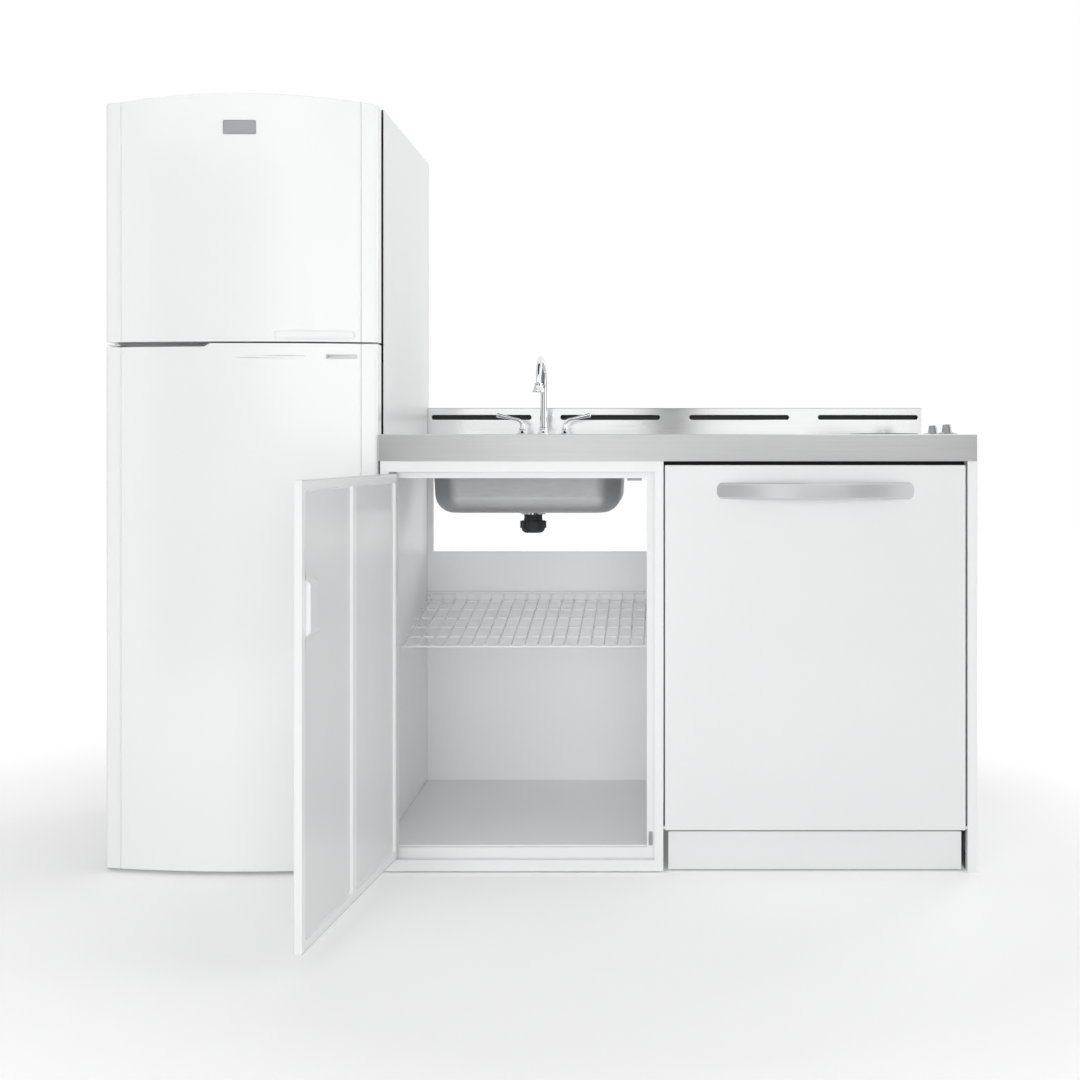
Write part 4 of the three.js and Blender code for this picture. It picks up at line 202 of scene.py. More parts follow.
def join_up(group, given, made, shares, wear, span, height):
    """Mixes an effect's two colours and its two glosses by noises, and passes on its height."""
    ends = {"Color1": given.outputs["Light"], "Color2": given.outputs["Dark"]}
    colour = add_node(group, "ShaderNodeMixRGB", {"Fac": shares, **ends})
    gloss = {"To Min": given.outputs["Gloss low"], "To Max": given.outputs["Gloss high"]}
    gloss |= {"Value": wear, "From Min": span[0], "From Max": span[1]}
    roughness = add_node(group, "ShaderNodeMapRange", gloss)
    group.links.new(colour.outputs[0], made.inputs["Colour"])
    group.links.new(roughness.outputs[0], made.inputs["Roughness"])
    group.links.new(height, made.inputs["Height"])
    return group


def sprayed_paint_effect():
    """Paint that drifts a little in shade, with the fine orange peel that a spray gun leaves."""
    group, given, made = effect("sprayed_paint", "Float")
    spot = add_node(group, "ShaderNodeTexCoord").outputs["Object"]
    drift, wiped, peel = (
        add_node(
            group, "ShaderNodeTexNoise", {"Vector": spot, "Scale": scale, "Detail": detail}
        ).outputs["Fac"]
        for scale, detail in ((2.6, 3.0), (5.0, 2.0), (given.outputs["Grain"], 2.0))
    )
    return join_up(group, given, made, drift, wiped, (0, 1), peel)


def finish_of(name, group, light, dark, gloss, grain, bump, **constants):
    """A material whose colour, roughness and relief (in metres) come from an effect group."""
    material, shader = new_material(name, **constants)
    tree = material.node_tree
    look = add_node(tree, "ShaderNodeGroup", node_tree=group)
    for socket, value in zip(look.inputs, ((*light, 1), (*dark, 1), *gloss, grain)):
        socket.default_value = value
    height = look.outputs["Height"]
    relief = add_node(tree, "ShaderNodeBump", {"Height": height, "Strength": 1, "Distance": bump})
    tree.links.new(look.outputs["Colour"], shader.inputs["Base Color"])
    tree.links.new(look.outputs["Roughness"], shader.inputs["Roughness"])
    tree.links.new(relief.outputs["Normal"], shader.inputs["Normal"])
    return material


sprayed_paint = sprayed_paint_effect()


def sprayed(name, light, dark, gloss, bump, peel=500.0, **constants):
    """Paint, plastic, glass or plating, with a fine peel over it."""
    return finish_of(name, sprayed_paint, light, dark, gloss, peel, bump, **constants)


case_enamel = sprayed(
    "case_enamel", (0.89, 0.893, 0.896), (0.87, 0.874, 0.878), (0.3, 0.34), 0.000003
)


def only(piece):
    """Makes a piece the one selected and active object."""
    bpy.ops.object.select_all(action="DESELECT")
    piece.select_set(True)
    bpy.context.view_layer.objects.active = piece


@contextmanager
def editing(piece):
    """Keeps a piece in edit mode for the lines below."""
    only(piece)
    bpy.ops.object.mode_set(mode="EDIT")
    yield
    bpy.ops.object.mode_set(mode="OBJECT")


def choose(piece, kind, wanted):
    """In edit mode, selects the faces or edges whose middle and direction pass the test."""
    bpy.ops.mesh.select_mode(type=kind)
    bpy.ops.mesh.select_all(action="DESELECT")
    shape = bmesh.from_edit_mesh(piece.data)
    if kind == "FACE":
        for face in shape.faces:
            face.select_set(bool(wanted(face.calc_center_median(), face.normal)))
    else:
        for edge in shape.edges:
            a, b = (corner.co for corner in edge.verts)
            edge.select_set(bool(wanted((a + b) / 2, (b - a).normalized())))
    bmesh.update_edit_mesh(piece.data)


def bevel_edges(piece, width, segments, wanted):
    """In edit mode, rounds the edges that pass the test."""
    choose(piece, "EDGE", wanted)
    bpy.ops.mesh.bevel(offset=width, segments=segments, affect="EDGES")


def choose_all():
    """In edit mode, selects the whole piece."""
    bpy.ops.mesh.select_all(action="SELECT")


def resize(scale, centre):
    """In edit mode, scales what is chosen about a place."""
    bpy.ops.transform.resize(value=scale, center_override=centre)


def extrude(rise=0):
    """In edit mode, extrudes what is chosen, straight up where a rise is given."""
    bpy.ops.mesh.extrude_region_move(TRANSFORM_OT_translate={"value": (0, 0, rise)})


def weld(gap=0.00001):
    """In edit mode, merges the vertices that lie on one another."""
    choose_all()
    bpy.ops.mesh.remove_doubles(threshold=gap)


def modify(piece, kind, **settings):
    """Adds a modifier with these settings and applies it."""
    only(piece)
    modifier = piece.modifiers.new(kind.lower(), kind)
    for key, value in settings.items():
        setattr(modifier, key, value)
    bpy.ops.object.modifier_apply(modifier=modifier.name)


def shade(piece, angle=35):
    """Smooths a piece's curves and keeps its large flat faces flat."""
    only(piece)
    bpy.ops.object.shade_smooth_by_angle(angle=math.radians(angle))
    modify(piece, "WEIGHTED_NORMAL", weight=100, keep_sharp=True)


def soften(piece, width, segments=2):
    """Rounds every sharp edge of a piece a little, and smooths its curves."""
    modify(
        piece,
        "BEVEL",
        width=width,
        segments=segments,
        limit_method="ANGLE",
        angle_limit=math.radians(40),
        use_clamp_overlap=False,
        miter_outer="MITER_ARC",
    )
    shade(piece)


def copy_of(node, name):
    """A new piece with the mesh of a packed one."""
    piece = bpy.data.objects.new(name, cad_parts[node].data.copy())
    bpy.context.scene.collection.objects.link(piece)
    only(piece)
    bpy.ops.mesh.customdata_custom_splitnormals_clear()
    return piece


def from_node(node, name):
    """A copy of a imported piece, its triangles merged into whole flat faces."""
    piece = copy_of(node, name)
    piece.data.name = name
    with editing(piece):
        weld()
        bpy.ops.mesh.dissolve_limited(angle_limit=math.radians(1))
    return piece


def fit(piece, material, body, slot, *nodes):
    """Gives a finished piece its material and the body it moves with, and hides the nodes it stands
    for.
    """
    piece.data.materials.clear()
    piece.data.materials.append(material)
    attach(piece, body)
    if nodes:
        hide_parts(*nodes)
    return piece


def dressed(node, name, width, material, body, slot, segments=2):
    """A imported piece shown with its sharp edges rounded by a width."""
    piece = from_node(node, name)
    soften(piece, width, segments)
    return fit(piece, material, body, slot, node)


def clad(material, *nodes):
    """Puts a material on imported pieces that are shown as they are."""
    for node in nodes:
        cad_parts[node].data.materials.clear()
        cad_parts[node].data.materials.append(material)


NEAR = 0.0001  # Places closer than this many metres count as one.
case_low, case_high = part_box("fridge_casing")


def on_case_rim(middle, along):
    """The top edges of the case along its sides and its back."""
    beside = min(abs(middle.x - case_low.x), abs(middle.x - case_high.x))
    behind = abs(middle.y - case_high.y)
    return middle.z > case_high.z - NEAR and min(beside, behind) < NEAR


case = from_node("fridge_casing", "fridge_case")
with editing(case):
    bevel_edges(case, 0.0012, 3, on_case_rim)
soften(case, 0.0003)
fit(case, case_enamel, "unit", "white_paint", "fridge_casing")

moulded_plastic = sprayed(
    "moulded_plastic", (0.84, 0.85, 0.86), (0.8, 0.81, 0.82), (0.38, 0.5), 0.00003, peel=900.0
)
clad(moulded_plastic, "fridge_liner", "freezer_door_liner", "fridge_door_liner")


# ----------------------------------------
# The freezer and refrigerator doors: one bowed steel skin each, between a plain strip down either
# side. The freezer's top is arched, and both have a hollow for the fingers where they meet.
DOOR_LEFT, DOOR_RIGHT = -557.0, -2.0
DOOR_BACK, DOOR_EDGE, DOOR_CREST = 44.8, 8.0, -18.0
FREEZER_BOTTOM, FREEZER_TOP, ARCH_RISE = 1079.0, 1581.0, 18.0
FRIDGE_BOTTOM, FRIDGE_TOP = 8.0, 1076.0
STRIP_WIDTH, GROOVE_WIDTH, GROOVE_DEPTH = 32.0, 2.0, 1.6
IN_FRONT = -60.0  # Where the cutting tools start, clear of the doors' fronts.
ALIGNED = 0.9  # The cosine within which an edge or a face counts as along a direction.
FORWARD, BACKWARD = Vector((0, -1, 0)), Vector((0, 1, 0))
DOWNWARD, UPWARD = Vector((0, 0, -1)), Vector((0, 0, 1))
door_middle = (DOOR_LEFT + DOOR_RIGHT) / 2
door_half = (DOOR_RIGHT - DOOR_LEFT) / 2
bow_radius = (door_half**2 + (DOOR_EDGE - DOOR_CREST) ** 2) / (2 * (DOOR_EDGE - DOOR_CREST))


def upright(middle, along):
    """A test for vertical edges."""
    return abs(along.z) > ALIGNED


def deep(middle, along):
    """A test for edges that run from front to back."""
    return abs(along.y) > ALIGNED


def facing(direction):
    """A test for the faces that look in a direction."""
    return lambda middle, normal: normal.dot(direction) > ALIGNED


def bow_at(x):
    """The depth of the bowed front at a place across the door."""
    return DOOR_CREST + bow_radius - math.sqrt(bow_radius**2 - (x - door_middle) ** 2)


def place(name):
    """Names the primitive just added and moves its place into its mesh."""
    piece = bpy.context.object
    piece.name = piece.data.name = name
    bpy.ops.object.transform_apply(location=True, rotation=True, scale=True)
    return piece


def block(name, low, high):
    """A cube primitive stretched between two corners."""
    bpy.ops.mesh.primitive_cube_add(size=1, location=(low + high) / 2, scale=high - low)
    return place(name)


def barrel(name, centre, radius, length, axis="Z", sides=48):
    """A cylinder primitive about a point; radius and length are in millimetres."""
    turn = {"X": (0, math.pi / 2, 0), "Y": (math.pi / 2, 0, 0), "Z": (0, 0, 0)}[axis]
    bpy.ops.mesh.primitive_cylinder_add(
        vertices=sides, radius=radius / 1000, depth=length / 1000, location=centre, rotation=turn
    )
    return place(name)


def thicken(piece, sheet, side=-1):
    """Gives a surface the thickness of its sheet in metres, inwards or, with side 1, outwards."""
    modify(piece, "SOLIDIFY", thickness=sheet, offset=side, use_even_offset=True)


def combine(piece, operation, *tools):
    """Joins tools to a piece, cuts it by them, or keeps what they share, and deletes the tools."""
    for tool in tools:
        modify(piece, "BOOLEAN", object=tool, operation=operation, solver="EXACT")
        bpy.data.objects.remove(tool)


def trim(piece, point, outward):
    """Cuts a piece flat at a plane and closes it there."""
    with editing(piece):
        choose_all()
        bpy.ops.mesh.bisect(plane_co=point, plane_no=outward, use_fill=True, clear_outer=True)


def bowed_slab(name, bottom, top):
    """A door's solid: a slice of a wide upright barrel with rounded front corners."""
    centre = at(door_middle, DOOR_CREST + bow_radius, (bottom + top) / 2)
    slab = barrel(name, centre, bow_radius, top - bottom, sides=900)
    trim(slab, at(DOOR_LEFT, 0, 0), (-1, 0, 0))
    trim(slab, at(DOOR_RIGHT, 0, 0), (1, 0, 0))
    trim(slab, at(0, DOOR_BACK, 0), (0, 1, 0))
    with editing(slab):
        front_corners = [at(x, DOOR_EDGE, 0) for x in (DOOR_LEFT, DOOR_RIGHT)]
        bevel_edges(
            slab,
            0.007,
            5,
            lambda middle, along: upright(middle, along)
            and any(math.dist(middle.xy, corner.xy) < 0.002 for corner in front_corners),
        )
    return slab


def lean(tool, x):
    """Slants a tool that lies across the door until it runs along the bow at a place."""
    with editing(tool):
        for end in (-1, 1):
            choose(tool, "FACE", facing(Vector((end, 0, 0))))
            reach = tool.dimensions.x / 2 * (x - door_middle) / bow_radius
            bpy.ops.transform.translate(value=(0, end * reach, 0))


def strip_grooves(bottom, top):
    """Tools for the fine groove that parts each side strip from the middle of a door."""
    left, right = DOOR_LEFT + STRIP_WIDTH, DOOR_RIGHT - STRIP_WIDTH
    grooves = []
    for x, edge in ((left, left), (right - GROOVE_WIDTH, right)):
        high = at(x + GROOVE_WIDTH, bow_at(edge) + GROOVE_DEPTH, top + 40)
        grooves.append(block("groove", at(x, IN_FRONT, bottom - 20), high))
    return grooves


uncut_top = FREEZER_TOP + 19
freezer_door = bowed_slab("freezer_door", FREEZER_BOTTOM, uncut_top)
arch_radius = (door_half**2 + ARCH_RISE**2) / (2 * ARCH_RISE)
arch_hub = at(door_middle, 0, FREEZER_TOP - arch_radius)
arch = barrel("arch", arch_hub, arch_radius, 400, axis="Y", sides=1100)
combine(freezer_door, "INTERSECT", arch)
SCOOP_X = -127
scoop = barrel("scoop", at(SCOOP_X, bow_at(SCOOP_X) - 5, 1093), 11, 164, axis="X", sides=32)
lean(scoop, SCOOP_X)
with editing(scoop):
    bevel_edges(scoop, 0.008, 4, lambda middle, along: abs(along.x) < 0.5)
combine(freezer_door, "DIFFERENCE", scoop, *strip_grooves(FREEZER_BOTTOM, uncut_top))
soften(freezer_door, 0.0016, 3)

fridge_door = bowed_slab("fridge_door", FRIDGE_BOTTOM, FRIDGE_TOP)
STEP_X, GROOVE_X, SLOT_X = -349, -215, -73
low_top = block("low_top", at(-600, IN_FRONT, FRIDGE_TOP - 7), at(STEP_X, 80, FRIDGE_TOP + 24))
upper_end = at(STEP_X, 0, FRIDGE_TOP + 24)
with editing(low_top):
    choose(
        low_top,
        "EDGE",
        lambda middle, along: deep(middle, along) and (middle - upper_end).xz.length < NEAR,
    )
    bpy.ops.transform.translate(value=(0.055, 0, 0))
groove_end = at(-102, bow_at(GROOVE_X) + 1.8, 1051)
grip_groove = block("grip_groove", at(-328, IN_FRONT, 1046), groove_end)
lean(grip_groove, GROOVE_X)
grip_slot = block("grip_slot", at(-104, IN_FRONT, 1045.5), at(-43, bow_at(SLOT_X) + 16, 1053))
grooves = strip_grooves(FRIDGE_BOTTOM, FRIDGE_TOP)
combine(fridge_door, "DIFFERENCE", low_top, grip_groove, grip_slot, *grooves)
soften(fridge_door, 0.0016, 3)

fridge_enamel = sprayed(
    "fridge_enamel", (0.9, 0.903, 0.906), (0.88, 0.884, 0.889), (0.2, 0.24), 0.000004, peel=420.0,
    Coat_Weight=0.4, Coat_Roughness=0.12
)
fit(freezer_door, fridge_enamel, "freezer_door", "white_paint", "freezer_door_shell")
fit(fridge_door, fridge_enamel, "fridge_door", "white_paint", "fridge_door_shell")

# ----------------------------------------
# The badge plate of the freezer door: a small pressed plate of brushed alloy with a thin raised
# rim, glued on and left bare.
def brushed_effect():
    """Rolled or brushed metal: fine lines along one direction, and broad bands across the sheet."""
    group, given, made = effect("brushed_metal", "Vector")
    spot = add_node(group, "ShaderNodeTexCoord").outputs["Object"]
    drawn = add_node(
        group, "ShaderNodeMapping", {"Vector": spot, "Scale": given.outputs["Grain"]}
    ).outputs[0]
    noise = {"Vector": drawn, "Scale": 1.0, "Detail": 6.0, "Roughness": 0.6}
    lines = add_node(group, "ShaderNodeTexNoise", noise).outputs["Fac"]
    return join_up(group, given, made, lines, lines, (0.1, 0.9), lines)


brushed_metal = brushed_effect()


def brushed(name, light, dark, grain, bump, gloss=(0.25, 0.4), **constants):
    """Bare metal; its lines run along the axis where its grain's number is smallest."""
    return finish_of(name, brushed_metal, light, dark, gloss, grain, bump, **constants)


badge = block("badge_plate", at(-309, -20, 1497.7), at(-242.4, -14, 1525.9))
with editing(badge):
    bevel_edges(badge, 0.0025, 4, deep)
    choose(badge, "FACE", facing(FORWARD))
    bpy.ops.mesh.inset(thickness=0.0016, depth=0)
    bpy.ops.mesh.inset(thickness=0.0005, depth=-0.0006)
soften(badge, 0.0003)
badge_alloy = brushed(
    "badge_alloy", (0.42, 0.43, 0.44), (0.33, 0.34, 0.35), (60.0, 2000.0, 2000.0), 0.00002,
    Metallic=0.85
)
fit(badge, badge_alloy, "freezer_door", "brushed_steel")

# ----------------------------------------
# The refrigerator's seals, shelf, hinges and compressor: soft vinyl seals on the doors' liners,
# a float glass shelf on the liner's ledges, steel hinge plates screwed to the case.
sealing_vinyl = sprayed(
    "sealing_vinyl", (0.62, 0.63, 0.64), (0.57, 0.58, 0.59), (0.6, 0.75), 0.00003, peel=1200.0
)
clad(sealing_vinyl, "freezer_gasket", "fridge_gasket")

shelf_glass = sprayed(
    "shelf_glass", (0.8, 0.9, 0.86), (0.76, 0.88, 0.84), (0.02, 0.05), 0.00001, peel=30.0,
    Transmission_Weight=0.9, IOR=1.5
)
dressed("glass_shelf", "glass_pane", 0.001, shelf_glass, "unit", "shelf_glass", segments=3)

for end in ("top", "middle"):
    hinge = f"fridge_{end}_hinge"
    dressed(hinge, hinge + "_plate", 0.0006, case_enamel, "unit", "white_paint")

galvanised_sheet = brushed(
    "galvanised_sheet", (0.5, 0.51, 0.52), (0.4, 0.41, 0.42), (90.0, 90.0, 90.0), 0.00003,
    gloss=(0.38, 0.55), Metallic=0.9
)
dressed(
    "fridge_bottom_hinge",
    "fridge_bottom_hinge_plate",
    0.0006,
    galvanised_sheet,
    "unit",
    "galvanised",
)

black_paint_and_slot_shade = sprayed(
    "black_paint_and_slot_shade", (0.02, 0.02, 0.022), (0.028, 0.028, 0.03), (0.35, 0.5), 0.00005
)
dressed(
    "compressor", "compressor_shell", 0.002, black_paint_and_slot_shade, "unit", "compressor_black", segments=3
)

# ----------------------------------------
# The sink cabinet: folded steel sheets spot-welded into a carcass, with a stamped face frame
# that is stepped back round the door, all sprayed white. The end panel closes the right end.
# Painted light: the sheets seen inside the cabinet get a lighter copy of the white paint than the
# outside.
lightened_carcass_paint = sprayed(
    "lightened_carcass_paint", (0.93, 0.933, 0.937), (0.915, 0.919, 0.924), (0.3, 0.36), 0.000001
)
outer_enamel = sprayed(
    "outer_enamel", (0.87, 0.873, 0.877), (0.845, 0.849, 0.854), (0.3, 0.36), 0.0000008
)
for node, (name, paint) in {
    "cabinet_left_side": ("left_side_sheet", lightened_carcass_paint),
    "cabinet_divider": ("divider_sheet", lightened_carcass_paint),
    "right_end_panel": ("end_panel_sheet", outer_enamel),
    "cabinet_back_panel": ("back_sheet", lightened_carcass_paint),
    "cabinet_floor_pan": ("floor_sheet", lightened_carcass_paint),
    "cabinet_face_frame": ("face_frame", outer_enamel),
}.items():
    dressed(node, name, 0.0003, paint, "unit", "white_paint")

for node in ("top_catch", "stile_catch", "door_top_hinge", "door_bottom_hinge"):
    dressed(node, node + "_plate", 0.0003, galvanised_sheet, "unit", "galvanised")

# ----------------------------------------
# The cabinet door: a folded outer skin, a pressed inner pan with a rib down the middle, whose two
# fields get a greyer paint as painted shade, and a pull cup through both near the free edge, on two
# pins.
door_paint = sprayed(
    "door_paint", (0.83, 0.834, 0.838), (0.8, 0.805, 0.81), (0.22, 0.27), 0.000003
)


PIN_X, PIN_Y, OPEN_ANGLE = 27.5, 5.5, 96
CUP_LEFT, CUP_RIGHT, CUP_LOW, CUP_HIGH = 499.0, 543.0, 537.0, 659.0
CUP_X, CUP_Z, CUP_DEPTH, CUP_FLANGE = 521.0, 598.0, 25.0, 4.0
FIELD_LOW, FIELD_HIGH = 44.4, 796.6


def swing_open(piece):
    """Turns a piece made on the closed door about the door's pins, to where it hangs open."""
    with editing(piece):
        choose_all()
        bpy.ops.transform.rotate(
            value=math.radians(OPEN_ANGLE),
            orient_axis="Z",
            center_override=at(PIN_X, PIN_Y, 0),
            orient_type="GLOBAL",
        )


def open_shell(name, low, high, open_side, ease, sheet):
    """A box folded from sheet: one side left open, every fold rounded, walls turned inwards."""
    shell = block(name, low, high)
    with editing(shell):
        choose(shell, "FACE", facing(open_side))
        bpy.ops.mesh.delete(type="FACE")
        mouth = max(low.dot(open_side), high.dot(open_side))
        bevel_edges(shell, ease, 4, lambda middle, along: middle.dot(open_side) < mouth - NEAR)
    thicken(shell, sheet)
    return shell


skin = open_shell("door_skin_sheet", at(24, 2, 29), at(560, 17, 812), BACKWARD, 0.0022, 0.0012)
cup_hole = block("cup_hole", at(CUP_LEFT, 0, CUP_LOW), at(CUP_RIGHT, 12, CUP_HIGH))
combine(skin, "DIFFERENCE", cup_hole)
shade(skin)
swing_open(skin)
fit(skin, door_paint, "cabinet_door", "white_paint", "door_outer_skin")

pan = block("door_pan_sheet", at(33, 9, 30.4), at(558.6, 16.9, 810.6))
fields = []
for field_left, field_right in ((39.4, 282), (302, 544.6)):
    field = block("field", at(field_left, 12.2, FIELD_LOW), at(field_right, 20, FIELD_HIGH))
    with editing(field):
        choose(field, "FACE", facing(FORWARD))
        centre = (at(field_left, 0, FIELD_LOW) + at(field_right, 0, FIELD_HIGH)) / 2
        resize((0.974, 1, 0.991), centre)
        bevel_edges(field, 0.008, 5, lambda middle, along: abs(along.y) > 0.6)
    fields.append(field)
cup_hole = block("cup_hole", at(498.6, 0, 536.6), at(543.4, 30, 659.4))
with editing(cup_hole):
    choose(cup_hole, "FACE", facing(BACKWARD))
    resize((1, 1, 37.2 / 61.4), at(CUP_X, 30, CUP_Z))
combine(pan, "DIFFERENCE", cup_hole, *fields)
soften(pan, 0.0009, 3)
shaded_field_faces = [
    face.index
    for face in pan.data.polygons
    if at(0, 12, 0).y < face.center.y < at(0, 14, 0).y and face.normal.y > 0.9 and face.area > 0.001
]
swing_open(pan)
rim_paint = sprayed(
    "rim_paint", (0.925, 0.928, 0.932), (0.9, 0.904, 0.908), (0.22, 0.27), 0.000003
)
fit(pan, rim_paint, "cabinet_door", "white_paint", "door_inner_pan")
# Painted shade: the pan's two recessed fields take the greyer door paint, its rim and rib the
# lighter one.
pan.data.materials.append(door_paint)
for index in shaded_field_faces:
    pan.data.polygons[index].material_index = 1

cup_width, cup_height = CUP_RIGHT - CUP_LEFT, CUP_HIGH - CUP_LOW
cup_low, cup_high = at(CUP_LEFT, 2, CUP_LOW), at(CUP_RIGHT, CUP_DEPTH, CUP_HIGH)
cup = block("door_cup_pressing", cup_low, cup_high)
with editing(cup):
    choose(cup, "FACE", facing(BACKWARD))
    cup_floor = at(CUP_X, CUP_DEPTH, CUP_Z)
    resize((1, 1, 82 / cup_height), cup_floor)
    bevel_edges(cup, 0.004, 5, lambda middle, along: middle.y > at(0, 3, 0).y)
    choose(cup, "FACE", facing(FORWARD))
    bpy.ops.mesh.delete(type="FACE")
    choose(cup, "EDGE", lambda middle, along: middle.y < at(0, 2.01, 0).y)
    extrude()
    flange = (1 + 2 * CUP_FLANGE / cup_width, 1, 1 + 2 * CUP_FLANGE / cup_height)
    resize(flange, at(CUP_X, 2, CUP_Z))
thicken(cup, 0.001)
shade(cup)
swing_open(cup)
fit(cup, door_paint, "cabinet_door", "white_paint", "door_pull_cup")


# ----------------------------------------
# The wire shelf: round drawn wires welded crosswise and dipped in white plastic. It slopes up to
# the back, where the long wires turn up, and two of its cross wires stand in the side walls.
def bar(name, points, radius, sides=12, radii=None):
    """A round bar along points; its radius is in millimetres, and radii holds shares of it."""
    path = bpy.data.curves.new(name, "CURVE")
    path.dimensions = "3D"
    path.bevel_depth = radius / 1000
    path.bevel_resolution = (sides - 4) // 2
    path.use_fill_caps = True
    line = path.splines.new("POLY")
    line.points.add(len(points) - 1)
    for knot, point, share in zip(line.points, points, radii or [1] * len(points)):
        knot.co = (*point, 1)
        knot.radius = share
    piece = bpy.data.objects.new(name, path)
    bpy.context.scene.collection.objects.link(piece)
    only(piece)
    bpy.ops.object.convert(target="MESH")
    with editing(piece):
        weld(0.000005)
        bpy.ops.mesh.normals_make_consistent(inside=False)
    return piece


def repeat(piece, count, step):
    """Makes a row of copies of a piece, a step in metres apart, as one mesh."""
    modify(
        piece,
        "ARRAY",
        count=count,
        use_relative_offset=False,
        use_constant_offset=True,
        constant_offset_displace=step,
    )


def unite(name, pieces):
    """Joins separate shapes into one object."""
    only(pieces[0])
    for piece in pieces[1:]:
        piece.select_set(True)
    bpy.ops.object.join()
    pieces[0].name = pieces[0].data.name = name
    return pieces[0]


SHELF_LEFT, SHELF_RIGHT, SHELF_FRONT, SHELF_LOW = 6.2, 576.8, 205.0, 430.0
FIRST_WIRE, LIP_BEND = 16.2, 5.5
cross_wire = bar("cross", [at(x, SHELF_FRONT, SHELF_LOW) for x in (SHELF_LEFT, SHELF_RIGHT)], 2.3)
repeat(cross_wire, 6, (0, 0.069, 0.012))
carriers = [
    bar("carrier", [at(3.4, y, z), at(579.6, y, z)], 1.85)
    for y, z in ((SHELF_FRONT, SHELF_LOW), (412, 466))
]
lip_wire = bar("lip", [at(SHELF_LEFT, 553, 510), at(SHELF_RIGHT, 553, 510)], 2.3)
long_line = [at(FIRST_WIRE, 203.5, 432.4)]
for step in (10, 30, 50, 70, 90):
    a = math.radians(step)
    y, z = 546 + LIP_BEND * math.sin(a), 491.4 + LIP_BEND * (1 - math.cos(a))
    long_line.append(at(FIRST_WIRE, y, z))
long_wire = bar("long", [*long_line, at(FIRST_WIRE, 551.5, 511)], 2.05)
repeat(long_wire, 20, (0.0289789, 0, 0))
wire_shelf = unite("wire_rack", [cross_wire, *carriers, lip_wire, long_wire])
shade(wire_shelf)
dipped_wire = sprayed(
    "dipped_wire", (0.95, 0.952, 0.955), (0.935, 0.938, 0.942), (0.25, 0.35), 0.00001
)
fit(wire_shelf, dipped_wire, "unit", "white_enamel", "wire_shelf")

# ----------------------------------------
# The worktop: one stainless sheet folded down into a deep apron all round and hemmed inwards at
# the bottom, punched for the sink, the faucet, two burners and two control shafts.
WORKTOP_WIDTH, WORKTOP_DEPTH, WORKTOP_TOP, HEM = 1219.0, 617.0, 892.0, 14.0
SINK_LEFT, SINK_RIGHT, SINK_FRONT, SINK_BACK = 85.0, 495.0, 100.0, 455.0
FAUCET_X, FAUCET_Y, VALVE_REACH = 295.0, 490.0, 50.8
BURNER_X, BURNER_ROWS = 1058.0, {"front": 172.0, "rear": 416.0}
KNOB_X, KNOB_ROWS = 1187.0, {"front": 150.0, "rear": 300.0}
top_low, top_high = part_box("worktop")
worktop = block("steel_worktop", top_low, top_high)
with editing(worktop):
    choose(worktop, "FACE", facing(DOWNWARD))
    bpy.ops.mesh.delete(type="FACE")
    bevel_edges(
        worktop,
        0.0018,
        4,
        lambda middle, along: middle.z > top_high.z - NEAR or upright(middle, along),
    )
    choose(
        worktop,
        "EDGE",
        lambda middle, along: middle.z < top_low.z + NEAR and not upright(middle, along),
    )
    extrude()
    hem = (1 - 2 * HEM / WORKTOP_WIDTH, 1 - 2 * HEM / WORKTOP_DEPTH, 1)
    resize(hem, (top_low + top_high) / 2)
thicken(worktop, 0.0015)
mouth = block("mouth", at(SINK_LEFT, SINK_FRONT, 880), at(SINK_RIGHT, SINK_BACK, 900))
with editing(mouth):
    bevel_edges(mouth, 0.055, 12, upright)
punched = [(BURNER_X, y, 94, 96) for y in BURNER_ROWS.values()]
punched += [(FAUCET_X + side * VALVE_REACH, FAUCET_Y, 8.3, 32) for side in (-1, 0, 1)]
punched += [(KNOB_X, y, 5, 32) for y in KNOB_ROWS.values()]
punches = [barrel("punch", at(x, y, 890), radius, 20, sides=n) for x, y, radius, n in punched]
combine(worktop, "DIFFERENCE", mouth, *punches)
shade(worktop, 30)
brushed_stainless = brushed(
    "brushed_stainless", (0.84, 0.84, 0.845), (0.72, 0.725, 0.73), (3.0, 500.0, 500.0), 0.00002,
    gloss=(0.26, 0.4), Metallic=1.0
)
fit(worktop, brushed_stainless, "unit", "brushed_steel", "worktop")

GUARD_FRONT, GUARD_TOP, SLOT_HALF = 597.0, 961.0, 123.0
guard_high = at(WORKTOP_WIDTH, WORKTOP_DEPTH, GUARD_TOP)
guard = block("steel_back_guard", at(0, GUARD_FRONT, WORKTOP_TOP), guard_high)
slots = []
for x in (132.5, 450.5, 768.5, 1086.5):
    slot = block("slot", at(x - SLOT_HALF, 590, 932.5), at(x + SLOT_HALF, 614, 943.5))
    with editing(slot):
        bevel_edges(slot, 0.0054, 6, deep)
    slots.append(slot)
combine(guard, "DIFFERENCE", *slots)
soften(guard, 0.0014, 3)
# Painted light: the guard's stainless is a lighter copy of the worktop's, making up for its darker
# reflections.
brightened_guard_stainless = brushed(
    "brightened_guard_stainless", (0.97, 0.972, 0.972), (0.9, 0.903, 0.905), (3.0, 400.0, 400.0), 0.000008,
    gloss=(0.1, 0.17), Metallic=1.0
)
fit(guard, brightened_guard_stainless, "unit", "brushed_steel", "back_guard")
# Painted reflection: a dark copy of the steel on the faces along the guard's top edge, for its dark
# line.
hem_painted_reflection = brushed(
    "hem_painted_reflection", (0.3, 0.305, 0.31), (0.22, 0.225, 0.23), (3.0, 400.0, 400.0), 0.000008,
    Metallic=1.0
)
